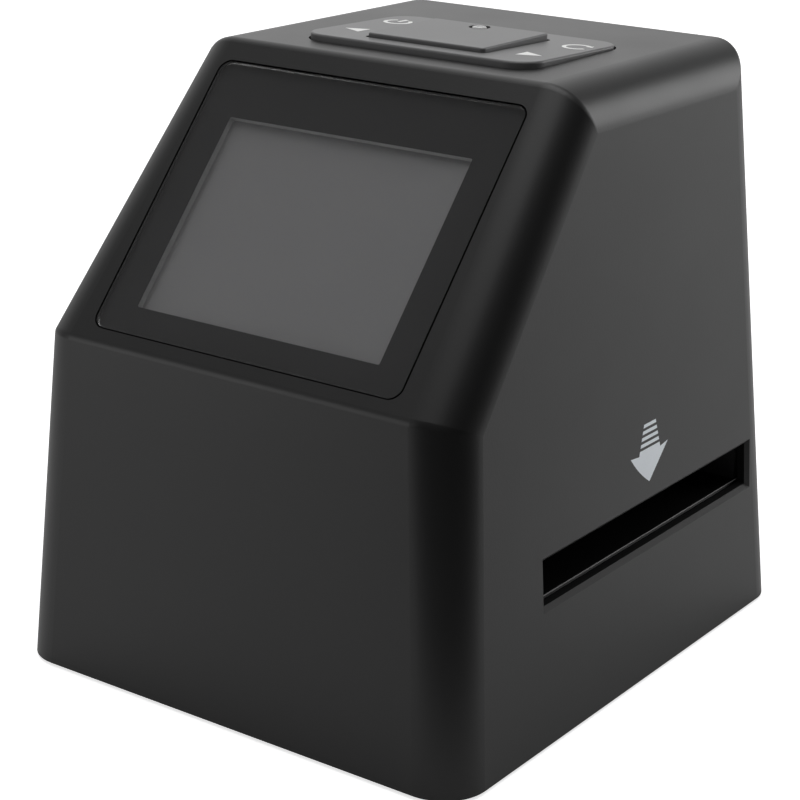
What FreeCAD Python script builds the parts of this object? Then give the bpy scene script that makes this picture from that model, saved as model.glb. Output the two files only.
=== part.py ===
# Desktop scanner for film negatives and slides, in millimetres.
# X points right, Y points back and Z points up. The origin is on the table, under the middle of the
# footprint. A film holder slides through the body along X. A light box lies under the film, the camera
# looks down on it from above, and the display lies in the sloping face.
import FreeCAD
import Part
import math
import os

os.makedirs("parts", exist_ok=True)

# Housing: one drafted moulding, open below, with a sloping display face
footprint_width = 95.0
footprint_depth = 111.5
body_height = 106.6
crease_height = 60.9
top_depth = 59.11
side_draft = 4.2
front_draft = 2.6
back_draft = 5.3
corner_radius = 8.3
crease_radius = 2.0
back_crease_radius = 1.0
wall = 2.2
overrun = 6.0

# Feet: soft pads in shallow pockets of the base
foot_radius = 4.5
foot_proud = 0.6
foot_pocket = 0.9
foot_clearance = 0.1
foot_edge_inset_x = 10.0
foot_edge_inset_y = 18.5

# Base plate: closes the housing from below
base_recess = 0.3
base_thickness = 2.2
base_clearance = 0.2
base_lip_height = 2.0
base_lip_width = 1.2

# Self-tapping screws through the base into the housing's posts
post_radius = 3.2
post_height = 16.0
post_inset_x = 9.0
post_inset_y = 9.2
post_rib = 1.6
base_screw_radius = 1.3
base_screw_length = 9.0
base_head_radius = 2.5
base_head_height = 1.5
base_counterbore = 1.8
screw_slot_width = 0.6
screw_slot_depth = 0.7
screw_hole_clearance = 0.2
pilot_clearance = 0.02

# Film slot: a straight tunnel through both sides, with a chamfered mouth
slot_front_inset = 26.9
slot_back_inset = 11.7
slot_bottom = 23.6
slot_height = 9.45
slot_chamfer = 0.75

# Film bed, rails and roof: the film channel inside, a little wider than the slot
bed_step = 0.3
bed_thickness = 2.4
bed_end_clearance = 0.25
bed_lead_in = 0.35
rail_clearance = 0.2
rail_thickness = 2.0
roof_step = 0.2
roof_thickness = 2.0
gate_length = 38.0
gate_width = 26.0
gate_corner = 1.5
chassis_side_inset = 17.5
chassis_boss_radius = 2.4
chassis_boss_overlap = 0.6
chassis_boss_gap = 0.4
chassis_screw_radius = 1.0
chassis_head_radius = 1.9
chassis_head_height = 1.3
chassis_screw_bite = 6.0
thread_share = 0.75

# Ball catch in the film roof: it clicks into the notches of a film holder
ball_radius = 2.0
ball_end_inset = 8.1
ball_inset_y = 7.5
ball_running_clearance = 0.06
ball_mouth_radius = 1.75
ball_lip = 0.3
ball_seat_clearance = 0.04
ball_boss_wall = 1.5
catch_spring_radius = 1.35
catch_spring_wire = 0.2
catch_spring_height = 3.6
catch_spring_turns = 5
catch_plug_height = 1.5
spring_seat_clearance = 0.1

# Light box: white tray with the lamps below the film
light_box_length = 45.0
light_box_width = 33.0
light_box_wall = 1.4
light_box_floor = 1.4
light_box_corner = 2.0
light_box_ear_radius = 3.0
light_box_ear_height = 2.0
light_box_ear_offset = 2.2
diffuser_thickness = 2.0
diffuser_shelf = 0.8
diffuser_clearance = 0.2
lamp_board_thickness = 1.2
lamp_board_clearance = 0.4
lamp_size = 3.5
lamp_height = 1.4
lamp_pitch_x = 16.0
lamp_pitch_y = 10.0
lamp_cup_share = 0.75
seat_gap = 0.05

# Camera tower: tapered hood that keeps stray light from the lens
tower_base_length = 46.0
tower_base_width = 36.0
tower_top_side = 21.0
tower_wall = 1.5
tower_flange = 2.0
tower_flange_rim = 5.0
tower_corner = 2.5
tower_screw_radius = 1.0
tower_head_radius = 1.8
tower_head_height = 1.2

# Lens holder, lens and image sensor
holder_flange = 2.0
holder_turret_side = 17.0
holder_turret_height = 12.0
holder_ear_radius = 2.3
holder_ear_offset = 10.6
holder_corner = 1.5
barrel_radius = 6.0
barrel_length = 13.0
barrel_bore_radius = 4.6
barrel_knurl_radius = 6.9
barrel_knurl_height = 3.0
barrel_top_gap = 1.2
thread_clearance = 0.05
lens_edge_thickness = 1.2
lens_centre_thickness = 2.6
lens_clearance = 0.05
lens_seat_inset = 1.0
filter_ledge = 1.0
filter_opening = 7.0
filter_side = 9.0
filter_thickness = 0.5
sensor_side = 9.6
sensor_thickness = 1.6
sensor_cavity_side = 12.0
sensor_board_length = 27.0
sensor_board_width = 20.0
sensor_board_thickness = 1.2
sensor_connector_inset = 4.5
sensor_headroom = 12.3

# Display window: clear sheet, printed black on its back around the picture
window_side_inset = 16.0
window_low_margin = 2.95
window_high_margin = 4.61
window_corner = 2.2
window_thickness = 1.5
window_gap = 0.25
window_adhesive = 0.1
ledge_thickness = 1.2
view_side_border = 6.5
view_low_border = 5.25
view_high_border = 10.25
print_gap = 0.02
print_margin = 0.3

# Display panel behind the window
panel_side_border = 5.15
panel_low_border = 4.8
panel_high_border = 2.2
panel_thickness = 2.5
panel_depth = 2.85
ledge_border = 2.0
gasket_width = 1.6
gasket_clearance = 0.2
active_side_inset = 0.52
active_end_inset = 0.39
panel_active_step = 0.05

# Frame that presses the panel against the window ledge
frame_rim = 1.6
frame_back = 1.4
frame_clearance = 0.25
frame_window_margin = 6.0
frame_ear_radius = 2.6
frame_ear_offset = 2.3
frame_ear_rise_share = 0.36
frame_screw_radius = 0.9
frame_head_radius = 1.7
frame_head_height = 1.1
frame_screw_bite = 3.2

# Rocking key plate with four printed corners, and the square key in its middle
keys_x = 1.1
keys_setback = 22.55
plate_side_inset = 23.8
plate_width = 31.4
plate_corner = 5.0
plate_front_proud = 1.2
plate_back_proud = 0.5
plate_skin = 1.8
plate_side_wall = 1.6
plate_gap = 0.35
plate_flange = 1.0
plate_flange_height = 0.8
plate_flange_drop = 0.9
plate_edge_round = 0.4
nub_radius = 1.4
ok_forward = 1.1
ok_end_inset = 11.6
ok_width = 20.8
ok_corner = 0.8
ok_proud = 1.85
ok_gap = 0.5
ok_skin = 1.6
ok_side_wall = 1.3
ok_flange = 1.0
ok_flange_height = 0.6
ok_flange_drop = 0.6
ok_edge_round = 0.3
ok_travel = 0.5
ok_sleeve_wall = 1.4
sleeve_foot = 1.5

# Status light: a clear rod in the square key above a small lamp
light_hole_radius = 1.95
light_rod_radius = 1.3
light_rod_collar = 0.9
light_rod_collar_height = 0.8
light_rod_proud = 0.15
light_shift = 0.5
light_inset = 3.0
light_rod_gap = 0.9
status_lamp_length = 1.6
status_lamp_width = 0.8
status_lamp_height = 0.6

# Key board, its switches and the soft ring that carries the key plate
key_board_drop = 9.6
key_board_side_inset = 16.0
key_board_margin_y = 2.2
key_board_thickness = 1.2
switch_side = 6.0
switch_height = 2.6
plunger_radius = 1.2
plunger_height = 0.9
plunger_sink = 0.9
plunger_clearance = 0.1
switch_inset_x = 4.9
switch_inset_y = 5.4
nub_gap = 0.6
ring_width = 2.0
ring_clearance = 0.4
ring_end_gap = 0.35
key_boss_radius = 2.4
key_boss_inset = 2.6
key_screw_radius = 0.9
key_head_radius = 1.7
key_head_height = 1.1

# Main board on the base
board_standoff = 2.5
board_thickness = 1.6
board_side_gap = 11.0
board_front_gap = 9.0
board_back_gap = 3.0
board_screw_radius = 1.0
board_head_radius = 1.9
board_head_height = 1.3
board_standoff_radius = 2.5
board_screw_inset = 4.0
chip_height = 1.2
processor_side = 10.0
memory_length = 11.0
memory_width = 9.0
chip_gap = 4.0
capacitor_radius = 2.5
capacitor_height = 5.4
capacitor_pitch = 7.0
can_round_share = 0.2

# Sockets at the back
card_socket_width = 28.0
card_socket_height = 3.0
card_socket_gap = 1.3
card_post_gap = 2.6
card_shell = 0.4
card_width = 24.4
card_thickness = 2.3
card_mouth_margin = 0.5
usb_width = 7.7
usb_length = 9.0
usb_height = 4.0
usb_place_share = 0.58
usb_shell = 0.4
usb_tongue_thickness = 0.9
usb_tongue_margin = 1.4
usb_mouth_margin = 0.6
socket_face_gap = 0.4

# Flat ribbon cables and their connectors
ribbon_thickness = 0.3
ribbon_bend = 1.6
lcd_ribbon_width = 16.0
sensor_ribbon_width = 12.0
key_ribbon_width = 6.0
key_ribbon_x = 9.5
ribbon_wall_gap = 1.6
connector_height = 2.0
connector_depth = 4.0
connector_margin = 1.5
connector_mouth = 0.7

# Sizes and places that follow from the values above
rim_z = foot_proud
top_z = rim_z + body_height
half_width = footprint_width / 2
half_depth = footprint_depth / 2
crease_z = rim_z + crease_height
crease_y = -half_depth + crease_height * math.tan(math.radians(front_draft))
back_lean = math.tan(math.radians(back_draft))
top_front_y = half_depth - body_height * back_lean - top_depth
slope_length = math.hypot(top_z - crease_z, top_front_y - crease_y)
slope_angle = math.degrees(math.atan2(top_z - crease_z, top_front_y - crease_y))
slope_run = math.cos(math.radians(slope_angle))
slope_lift = math.sin(math.radians(slope_angle))
side_lean = math.tan(math.radians(side_draft))
front_lean = math.tan(math.radians(front_draft))
side_wall_run = wall / math.cos(math.radians(side_draft))

base_z = rim_z + base_recess
base_top_z = base_z + base_thickness
slot_length = footprint_depth - slot_front_inset - slot_back_inset
slot_centre_y = (slot_front_inset - slot_back_inset) / 2
slot_low_z = rim_z + slot_bottom
slot_high_z = slot_low_z + slot_height
tunnel_low_z = slot_low_z + slot_chamfer
tunnel_high_z = slot_high_z - slot_chamfer
tunnel_front_y = slot_centre_y - slot_length / 2 + slot_chamfer
tunnel_back_y = slot_centre_y + slot_length / 2 - slot_chamfer
bed_top_z = tunnel_low_z + bed_step
bed_low_z = bed_top_z - bed_thickness
bed_end_x = half_width - (bed_top_z - rim_z) * side_lean - side_wall_run - bed_end_clearance
rail_front_y = tunnel_front_y - rail_clearance
rail_back_y = tunnel_back_y + rail_clearance
channel_front_y = rail_front_y - rail_thickness
channel_back_y = rail_back_y + rail_thickness
roof_low_z = tunnel_high_z + roof_step
roof_top_z = roof_low_z + roof_thickness
roof_end_x = half_width - (roof_top_z - rim_z) * side_lean - side_wall_run - bed_end_clearance
board_low_z = base_top_z + board_standoff
board_top_z = board_low_z + board_thickness
roof_inner_z = top_z - wall
ball_x = roof_end_x - ball_end_inset
ball_y = rail_front_y + ball_inset_y
post_x = half_width - post_inset_x
post_y = half_depth - post_inset_y
foot_x = half_width - foot_edge_inset_x
foot_y = half_depth - foot_edge_inset_y
chassis_post_x = half_width - chassis_side_inset
chassis_front_y = channel_front_y - chassis_boss_radius + chassis_boss_overlap
chassis_back_y = channel_back_y + chassis_boss_radius - chassis_boss_overlap
tower_z = roof_top_z + tower_flange
key_board_top_z = top_z - key_board_drop
sensor_board_z = key_board_top_z - key_board_thickness - sensor_headroom
turret_z = sensor_board_z - holder_turret_height
holder_z = turret_z - holder_flange

window_width = footprint_width - 2 * window_side_inset
window_height = slope_length - window_low_margin - window_high_margin
window_rise = window_low_margin + window_height / 2
view_width = window_width - 2 * view_side_border
view_height = window_height - view_low_border - view_high_border
view_rise = window_low_margin + view_low_border + view_height / 2
ledge_opening_width = view_width + 2 * ledge_border
ledge_opening_height = view_height + 2 * ledge_border
panel_width = view_width + 2 * panel_side_border
panel_height = view_height + panel_low_border + panel_high_border
panel_rise = view_rise - (panel_low_border - panel_high_border) / 2
active_width = view_width - 2 * active_side_inset
active_height = view_height - 2 * active_end_inset

keys_y = top_front_y + keys_setback
plate_length = footprint_width - 2 * plate_side_inset
ok_length = plate_length - 2 * ok_end_inset
ok_y = keys_y - ok_forward
light_x = keys_x - light_shift
light_y = ok_y + ok_width / 2 - light_inset
key_board_length = footprint_width - 2 * key_board_side_inset
key_board_width = plate_width - 2 * key_board_margin_y
board_half_width = half_width - board_side_gap - wall
card_socket_x = chassis_boss_radius + card_post_gap + card_socket_width / 2 - chassis_post_x
usb_x = board_half_width * usb_place_share

def vector(x, y, z):
    return FreeCAD.Vector(x, y, z)


X_AXIS = vector(1, 0, 0)
Y_AXIS = vector(0, 1, 0)


def block(x0, x1, y0, y1, z0, z1):
    """Box between two corners."""
    return Part.makeBox(x1 - x0, y1 - y0, z1 - z0, vector(x0, y0, z0))


def post(radius, x, y, z0, z1):
    """Upright cylinder."""
    return Part.makeCylinder(radius, z1 - z0, vector(x, y, z0))


def polygon_prism(points, along):
    """Closed outline of points pushed along a vector."""
    return Part.Face(Part.makePolygon(points + points[:1])).extrude(along)


def rounded_outline(length, width, corner, x, y, z):
    """Level rectangle with round corners, as a wire about its centre."""
    a = length / 2
    b = width / 2
    r = corner
    k = r * (1 - math.sqrt(0.5))
    edges = []
    for sx, sy in ((1, 1), (-1, 1), (-1, -1), (1, -1)):
        start = vector(x + sx * a, y + sy * (b - r), z)
        middle = vector(x + sx * (a - k), y + sy * (b - k), z)
        end = vector(x + sx * (a - r), y + sy * b, z)
        if sx * sy < 0:
            start, end = end, start
        edges.append((start, middle, end))
    parts = []
    for i, (start, middle, end) in enumerate(edges):
        parts.append(Part.Arc(start, middle, end).toShape())
        parts.append(Part.LineSegment(end, edges[(i + 1) % 4][0]).toShape())
    return Part.Wire(parts)


def rounded_slab(length, width, corner, x, y, z0, z1):
    """Plate with round corners between two heights."""
    wire = rounded_outline(length, width, corner, x, y, z0)
    return Part.Face(wire).extrude(vector(0, 0, z1 - z0))


def mirrored(shape):
    """The same piece on the other side of the middle plane."""
    return shape.mirror(vector(0, 0, 0), X_AXIS)


def fuse_all(shapes):
    first = shapes[0]
    if len(shapes) > 1:
        first = first.multiFuse(shapes[1:])
    return first.removeSplitter()


def corner_places(x, y0, y1):
    """Four places: left and right, front and back."""
    return [(sx * x, y) for y in (y0, y1) for sx in (-1, 1)]


def slope_point(u, v, depth):
    """Point under the sloping face: u across, v up the slope from its lower crease."""
    y = crease_y + v * slope_run + depth * slope_lift
    z = crease_z + v * slope_lift - depth * slope_run
    return vector(u, y, z)


def on_slope(shape):
    """Moves a shape drawn flat, with its outer face at height 0, onto the sloping face."""
    placed = shape.copy()
    placed.rotate(vector(0, 0, 0), X_AXIS, slope_angle)
    placed.translate(vector(0, crease_y, crease_z))
    return placed


def line_meet(p, d, q, e):
    """Point where two lines of the side view meet."""
    t = ((q[0] - p[0]) * e[1] - (q[1] - p[1]) * e[0]) / (d[0] * e[1] - d[1] * e[0])
    return (p[0] + t * d[0], p[1] + t * d[1])


def side_view(inset, bottom_z):
    """Corners of the body's side view, every wall moved inwards by the inset."""
    front = (front_lean, 1)
    slope = (slope_run, slope_lift)
    back = (-back_lean, 1)
    level = (1, 0)
    front_point = (-half_depth + inset / math.cos(math.radians(front_draft)), rim_z)
    slope_start = (crease_y + inset * slope_lift, crease_z - inset * slope_run)
    top_point = (0, top_z - inset)
    back_point = (half_depth - inset / math.cos(math.radians(back_draft)), rim_z)
    floor_point = (0, bottom_z)
    return [
        line_meet(front_point, front, floor_point, level),
        line_meet(front_point, front, slope_start, slope),
        line_meet(slope_start, slope, top_point, level),
        line_meet(top_point, level, back_point, back),
        line_meet(back_point, back, floor_point, level),
    ]


def body_wedge(inset, radius, bottom_z):
    """The body's outer form moved inwards, with its long side edges rounded."""
    outline = [vector(-footprint_width, y, z) for y, z in side_view(inset, bottom_z)]
    side = polygon_prism(outline, vector(2 * footprint_width, 0, 0))
    reach = half_width - inset / math.cos(math.radians(side_draft))
    low = reach - (bottom_z - rim_z) * side_lean
    high = reach - (top_z - rim_z) * side_lean
    taper = polygon_prism(
        [
            vector(-low, -footprint_depth, bottom_z),
            vector(low, -footprint_depth, bottom_z),
            vector(high, -footprint_depth, top_z),
            vector(-high, -footprint_depth, top_z),
        ],
        vector(0, 2 * footprint_depth, 0),
    )
    form = side.common(taper).removeSplitter()
    long_edges = []
    for edge in form.Edges:
        a, b = [v.Point for v in edge.Vertexes]
        same_side = a.x * b.x > 0
        at_bottom = max(a.z, b.z) < bottom_z + wall / 2
        if same_side and not at_bottom:
            long_edges.append(edge)
    return form.makeFillet(radius, long_edges)


def crease_edges(form, y, z):
    """Level edges across the body near a place of the side view."""
    found = []
    for edge in form.Edges:
        box = edge.BoundBox
        across = box.XLength > half_width and box.YLength < wall and box.ZLength < wall
        if across and abs(box.Center.y - y) < wall and abs(box.Center.z - z) < wall:
            found.append(edge)
    return found


def outer_body():
    """Outside of the housing: drafted, with round side edges and soft creases."""
    form = body_wedge(0, corner_radius, rim_z)
    corners = side_view(0, rim_z)
    soft = crease_edges(form, *corners[1]) + crease_edges(form, *corners[2])
    form = form.makeFillet(crease_radius, soft)
    return form.makeFillet(back_crease_radius, crease_edges(form, *corners[3]))


def inner_body(extra=0):
    """Room inside the walls, open below."""
    inset = wall + extra
    return body_wedge(inset, corner_radius - inset, rim_z - overrun)


def slot_mouth():
    """Flared mouth of the film slot on the right side, square to the leaning wall."""
    lean = math.radians(side_draft)
    normal = vector(math.cos(lean), 0, math.sin(lean))
    up = vector(-math.sin(lean), 0, math.cos(lean))
    origin = vector(half_width, slot_centre_y, rim_z)
    low = slot_bottom / math.cos(lean)
    high = low + slot_height / math.cos(lean)

    def frame(offset):
        points = []
        for side, level in ((-1, low - offset), (1, low - offset), (1, high + offset), (-1, high + offset)):
            y = side * (slot_length / 2 + offset)
            points.append(origin + Y_AXIS * y + up * level + normal * offset)
        return Part.makePolygon(points + points[:1])

    return Part.makeLoft([frame(-slot_chamfer), frame(slot_chamfer)], True, True)


def film_tunnel():
    """Straight way through both side walls, with its two flared mouths."""
    reach = footprint_width
    straight = block(-reach, reach, tunnel_front_y, tunnel_back_y, tunnel_low_z, tunnel_high_z)
    mouth = slot_mouth()
    return straight.multiFuse([mouth, mirrored(mouth)])


def screw_posts():
    """Posts for the base screws, each tied to the two walls of its corner by ribs."""
    shapes = []
    z0 = base_top_z
    z1 = z0 + post_height
    for x, y in corner_places(post_x, -post_y, post_y):
        sx = math.copysign(1, x)
        sy = math.copysign(1, y)
        shapes.append(post(post_radius, x, y, z0, z1))
        far_x = sx * footprint_width
        far_y = sy * footprint_depth
        rib_z = z0 + base_lip_height + base_clearance
        shapes.append(block(min(x, far_x), max(x, far_x), y - post_rib / 2, y + post_rib / 2, rib_z, z1))
        shapes.append(block(x - post_rib / 2, x + post_rib / 2, min(y, far_y), max(y, far_y), rib_z, z1))
    return shapes


def key_places(x, y):
    """Four places about the middle of the key plate."""
    return [(keys_x + px, py) for px, py in corner_places(x, keys_y - y, keys_y + y)]


def key_boss_places():
    x = key_board_length / 2 - key_boss_inset
    y = key_board_width / 2 - key_boss_inset
    return key_places(x, y)


def key_bosses():
    """Posts under the top that carry the key board."""
    return [post(key_boss_radius, x, y, key_board_top_z, top_z) for x, y in key_boss_places()]


def frame_ear_places():
    """Screw places of the display frame, across and up the slope."""
    u = panel_width / 2 + frame_clearance + frame_ear_offset + frame_screw_radius
    v = panel_height * frame_ear_rise_share
    return [(su * u, panel_rise + sv * v) for sv in (-1, 1) for su in (-1, 1)]


def frame_bosses():
    """Posts behind the sloping face that carry the display frame."""
    deep = panel_depth + panel_thickness
    return [on_slope(post(frame_ear_radius, u, v, -deep, 0)) for u, v in frame_ear_places()]


def window_backing():
    """Thicker wall behind the display window."""
    length = window_width + 2 * ledge_thickness
    height = window_height + 2 * ledge_thickness
    deep = window_thickness + window_adhesive + ledge_thickness
    return on_slope(rounded_slab(length, height, window_corner, 0, window_rise, -deep, 0))


def window_pocket():
    """Recess for the window and the opening behind it."""
    deep = window_thickness + window_adhesive
    seat = rounded_slab(
        window_width + 2 * window_gap,
        window_height + 2 * window_gap,
        window_corner + window_gap,
        0,
        window_rise,
        -deep,
        overrun,
    )
    opening = rounded_slab(
        ledge_opening_width, ledge_opening_height, window_corner, 0, view_rise, -deep - overrun, 0
    )
    return on_slope(seat.fuse(opening))


def key_well():
    """Opening in the top for the key plate."""
    return rounded_slab(
        plate_length + 2 * plate_gap,
        plate_width + 2 * plate_gap,
        plate_corner + plate_gap,
        keys_x,
        keys_y,
        roof_inner_z - overrun,
        top_z + overrun,
    )


def back_wall_y(z, inset):
    """Where the back wall stands at a height, moved inwards."""
    return half_depth - (z - rim_z) * back_lean - inset / math.cos(math.radians(back_draft))


def front_wall_y(z, inset):
    """Where the front wall stands at a height, moved inwards."""
    return -half_depth + (z - rim_z) * front_lean + inset / math.cos(math.radians(front_draft))


def socket_back_y():
    """Face of the sockets, just inside the back wall."""
    return back_wall_y(board_top_z + card_socket_height + usb_height, wall + socket_face_gap)


def back_openings():
    """Openings in the back wall for a memory card and for the plug."""
    y0 = socket_back_y() - wall
    y1 = half_depth + overrun
    card_z = board_top_z + card_socket_height / 2
    card_half = card_width / 2 + card_mouth_margin
    card_high = card_thickness / 2 + card_mouth_margin
    x = card_socket_x
    card = block(x - card_half, x + card_half, y0, y1, card_z - card_high, card_z + card_high)
    usb_half = usb_width / 2 + usb_mouth_margin
    plug = block(
        usb_x - usb_half,
        usb_x + usb_half,
        y0,
        y1,
        board_top_z - usb_mouth_margin,
        board_top_z + usb_height + usb_mouth_margin,
    )
    return [card, plug]


def main_housing():
    """Shell with collars, posts and bosses inside, and all its openings."""
    outside = outer_body()
    room = inner_body()
    inside = screw_posts() + key_bosses() + frame_bosses() + [window_backing()]
    shell = outside.cut(room)
    kept = [shape.common(outside) for shape in inside]
    shell = shell.multiFuse(kept)
    cuts = [film_tunnel(), window_pocket(), key_well()] + back_openings()
    screw_end_z = base_z + base_counterbore + base_screw_length
    for x, y in corner_places(post_x, -post_y, post_y):
        cuts.append(post(base_screw_radius + pilot_clearance, x, y, rim_z, screw_end_z + foot_proud))
    for x, y in key_boss_places():
        cuts.append(post(key_screw_radius + pilot_clearance, x, y, key_board_top_z - overrun, roof_inner_z))
    deep = panel_depth + panel_thickness
    for u, v in frame_ear_places():
        hole = post(frame_screw_radius + pilot_clearance, u, v, -deep - overrun, -deep + frame_screw_bite)
        cuts.append(on_slope(hole))
    return shell.cut(Part.makeCompound(cuts)).removeSplitter()


def pan_screw(x, y, head_z, head_radius, head_height, shank_radius, length, up):
    """Screw with a low round head. The shank runs up or down from the head's seat at head_z."""
    if up:
        head = post(head_radius, x, y, head_z - head_height, head_z)
        shank = post(shank_radius, x, y, head_z, head_z + length)
        rim = head_z - head_height
    else:
        head = post(head_radius, x, y, head_z, head_z + head_height)
        shank = post(shank_radius, x, y, head_z - length, head_z)
        rim = head_z + head_height
    round_edges = [e for e in head.Edges if e.Closed and abs(e.BoundBox.ZMin - rim) < head_height / 4]
    head = head.makeFillet(head_height / 2, round_edges)
    return head.fuse(shank)


def base_plate():
    """Bottom cover with a locating lip, screw wells, foot pockets, standoffs and chassis posts."""
    clear = wall + base_clearance
    a = footprint_width
    b = footprint_depth
    plate = body_wedge(clear, corner_radius - clear, base_z)
    slab = block(-a, a, -b, b, base_z, base_top_z)
    lip_slab = block(-a, a, -b, b, base_z, base_top_z + base_lip_height)
    inner = body_wedge(clear + base_lip_width, corner_radius - clear - base_lip_width, base_z)
    lip = plate.common(lip_slab).cut(inner)
    shapes = [plate.common(slab), lip]
    for x, y in board_screw_places():
        shapes.append(post(board_standoff_radius, x, y, base_z, board_low_z))
    for x, y in chassis_places():
        shapes.append(post(chassis_boss_radius, x, y, base_z, bed_low_z))
    body = fuse_all(shapes)
    cuts = []
    for x, y in corner_places(post_x, -post_y, post_y):
        hole = base_screw_radius + screw_hole_clearance
        cuts.append(post(hole, x, y, base_z - overrun, base_top_z + overrun))
        well = base_head_radius + screw_hole_clearance
        cuts.append(post(well, x, y, base_z - overrun, base_z + base_counterbore))
        lip_top = base_top_z + base_lip_height
        cuts.append(post(post_radius + base_clearance, x, y, base_top_z, lip_top + overrun))
    for x, y in corner_places(foot_x, -foot_y, foot_y):
        cuts.append(post(foot_radius + foot_clearance, x, y, base_z - overrun, base_z + foot_pocket))
    for x, y in board_screw_places():
        cuts.append(post(board_screw_radius + pilot_clearance, x, y, base_top_z, board_low_z + overrun))
    for x, y in chassis_places():
        bottom = bed_low_z - chassis_screw_bite - foot_proud
        cuts.append(post(chassis_screw_radius + pilot_clearance, x, y, bottom, bed_low_z + overrun))
    return body.cut(Part.makeCompound(cuts)).removeSplitter()


def rubber_feet():
    """Four round pads with softened lower rims."""
    feet = []
    for x, y in corner_places(foot_x, -foot_y, foot_y):
        pad = post(foot_radius, x, y, 0, base_z + foot_pocket)
        rim = [e for e in pad.Edges if e.Closed and e.BoundBox.ZMax < foot_proud / 2]
        feet.append(pad.makeFillet(foot_proud / 2, rim))
    return Part.makeCompound(feet)


def base_screws():
    """Four screws with cross recesses, heads in their wells."""
    screws = []
    seat_z = base_z + base_counterbore
    low_z = seat_z - base_head_height
    for x, y in corner_places(post_x, -post_y, post_y):
        screw = pan_screw(
            x, y, seat_z, base_head_radius, base_head_height, base_screw_radius, base_screw_length, True
        )
        arm = base_head_radius - screw_slot_width
        half = screw_slot_width / 2
        top = low_z + screw_slot_depth
        cross = block(x - arm, x + arm, y - half, y + half, low_z - overrun, top)
        cross = cross.fuse(block(x - half, x + half, y - arm, y + arm, low_z - overrun, top))
        screws.append(screw.cut(cross))
    return Part.makeCompound(screws)


def chassis_places():
    """Screw places beside the film channel: left and right, front and back."""
    return corner_places(chassis_post_x, chassis_front_y, chassis_back_y)


def chassis_lobes(z0, z1):
    """Round lobe at each chassis screw, grown out of the side of the film channel."""
    lobes = []
    r = chassis_boss_radius
    for x, y in chassis_places():
        side_y = channel_front_y if y < slot_centre_y else channel_back_y
        lobe = post(r, x, y, z0, z1)
        lobes.append(lobe.fuse(block(x - r, x + r, min(y, side_y), max(y, side_y), z0, z1)))
    return lobes


def chassis_holes(z0, z1):
    """Clear holes for the chassis screws."""
    r = chassis_screw_radius + screw_hole_clearance
    return [post(r, x, y, z0 - overrun, z1 + overrun) for x, y in chassis_places()]


def picture_gate(z0, z1):
    """Round-cornered opening for the light, cut through a plate."""
    return rounded_slab(gate_length, gate_width, gate_corner, 0, slot_centre_y, z0 - overrun, z1 + overrun)


def film_bed():
    """Floor of the film channel: plate with the picture gate, sloped lead-in edges and screw lobes."""
    plate = block(-bed_end_x, bed_end_x, channel_front_y, channel_back_y, bed_low_z, bed_top_z)
    body = fuse_all([plate] + chassis_lobes(bed_low_z, bed_top_z))
    ramp = polygon_prism(
        [
            vector(bed_end_x - bed_lead_in, channel_front_y - overrun, bed_top_z),
            vector(bed_end_x + bed_lead_in, channel_front_y - overrun, bed_top_z),
            vector(bed_end_x + bed_lead_in, channel_front_y - overrun, bed_top_z - 2 * bed_lead_in),
        ],
        vector(0, channel_back_y - channel_front_y + 2 * overrun, 0),
    )
    cuts = [picture_gate(bed_low_z, bed_top_z), ramp, mirrored(ramp)]
    cuts += chassis_holes(bed_low_z, bed_top_z)
    hole_top = bed_low_z + bed_thickness * thread_share
    for x, y in light_box_ear_places():
        cuts.append(post(chassis_screw_radius + pilot_clearance, x, y, bed_low_z - overrun, hole_top))
    return body.cut(Part.makeCompound(cuts)).removeSplitter()


def film_rails():
    """Two guide rails between film bed and film roof, each with two screw lobes on its outer side."""
    lobes = chassis_lobes(bed_top_z, roof_low_z)
    front = block(-roof_end_x, roof_end_x, channel_front_y, rail_front_y, bed_top_z, roof_low_z)
    back = block(-roof_end_x, roof_end_x, rail_back_y, channel_back_y, bed_top_z, roof_low_z)
    holes = Part.makeCompound(chassis_holes(bed_top_z, roof_low_z))
    front = fuse_all([front] + lobes[:2]).cut(holes)
    back = fuse_all([back] + lobes[2:]).cut(holes)
    return Part.makeCompound([front, back])


def catch_axis_z():
    """Height of the ball's centre, resting on the lip of its bore."""
    reach = math.sqrt(ball_radius ** 2 - ball_mouth_radius ** 2)
    return roof_low_z + ball_lip + reach + ball_seat_clearance


def catch_top_z():
    """Underside of the plug that holds the spring."""
    crown = math.sqrt(ball_radius ** 2 - catch_spring_radius ** 2)
    return catch_axis_z() + crown + catch_spring_wire + catch_spring_height + 2 * spring_seat_clearance


def film_roof():
    """Upper half of the film channel, with its picture gate and the bore of the ball catch."""
    plate = block(-roof_end_x, roof_end_x, channel_front_y, channel_back_y, roof_low_z, roof_top_z)
    shapes = [plate] + chassis_lobes(roof_low_z, roof_top_z)
    plug_top = catch_top_z() + catch_plug_height
    outer = ball_radius + ball_running_clearance + ball_boss_wall
    shapes.append(post(outer, ball_x, ball_y, roof_low_z, plug_top))
    body = fuse_all(shapes)
    cuts = [
        picture_gate(roof_low_z, roof_top_z),
        post(ball_mouth_radius, ball_x, ball_y, roof_low_z - overrun, roof_top_z),
        post(ball_radius + ball_running_clearance, ball_x, ball_y, roof_low_z + ball_lip, plug_top + overrun),
    ]
    cuts += chassis_holes(roof_low_z, roof_top_z)
    pilot = tower_screw_radius + pilot_clearance
    for x, y in tower_screw_places():
        cuts.append(post(pilot, x, y, roof_low_z + ball_lip, roof_top_z + overrun))
    return body.cut(Part.makeCompound(cuts)).removeSplitter()


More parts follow.
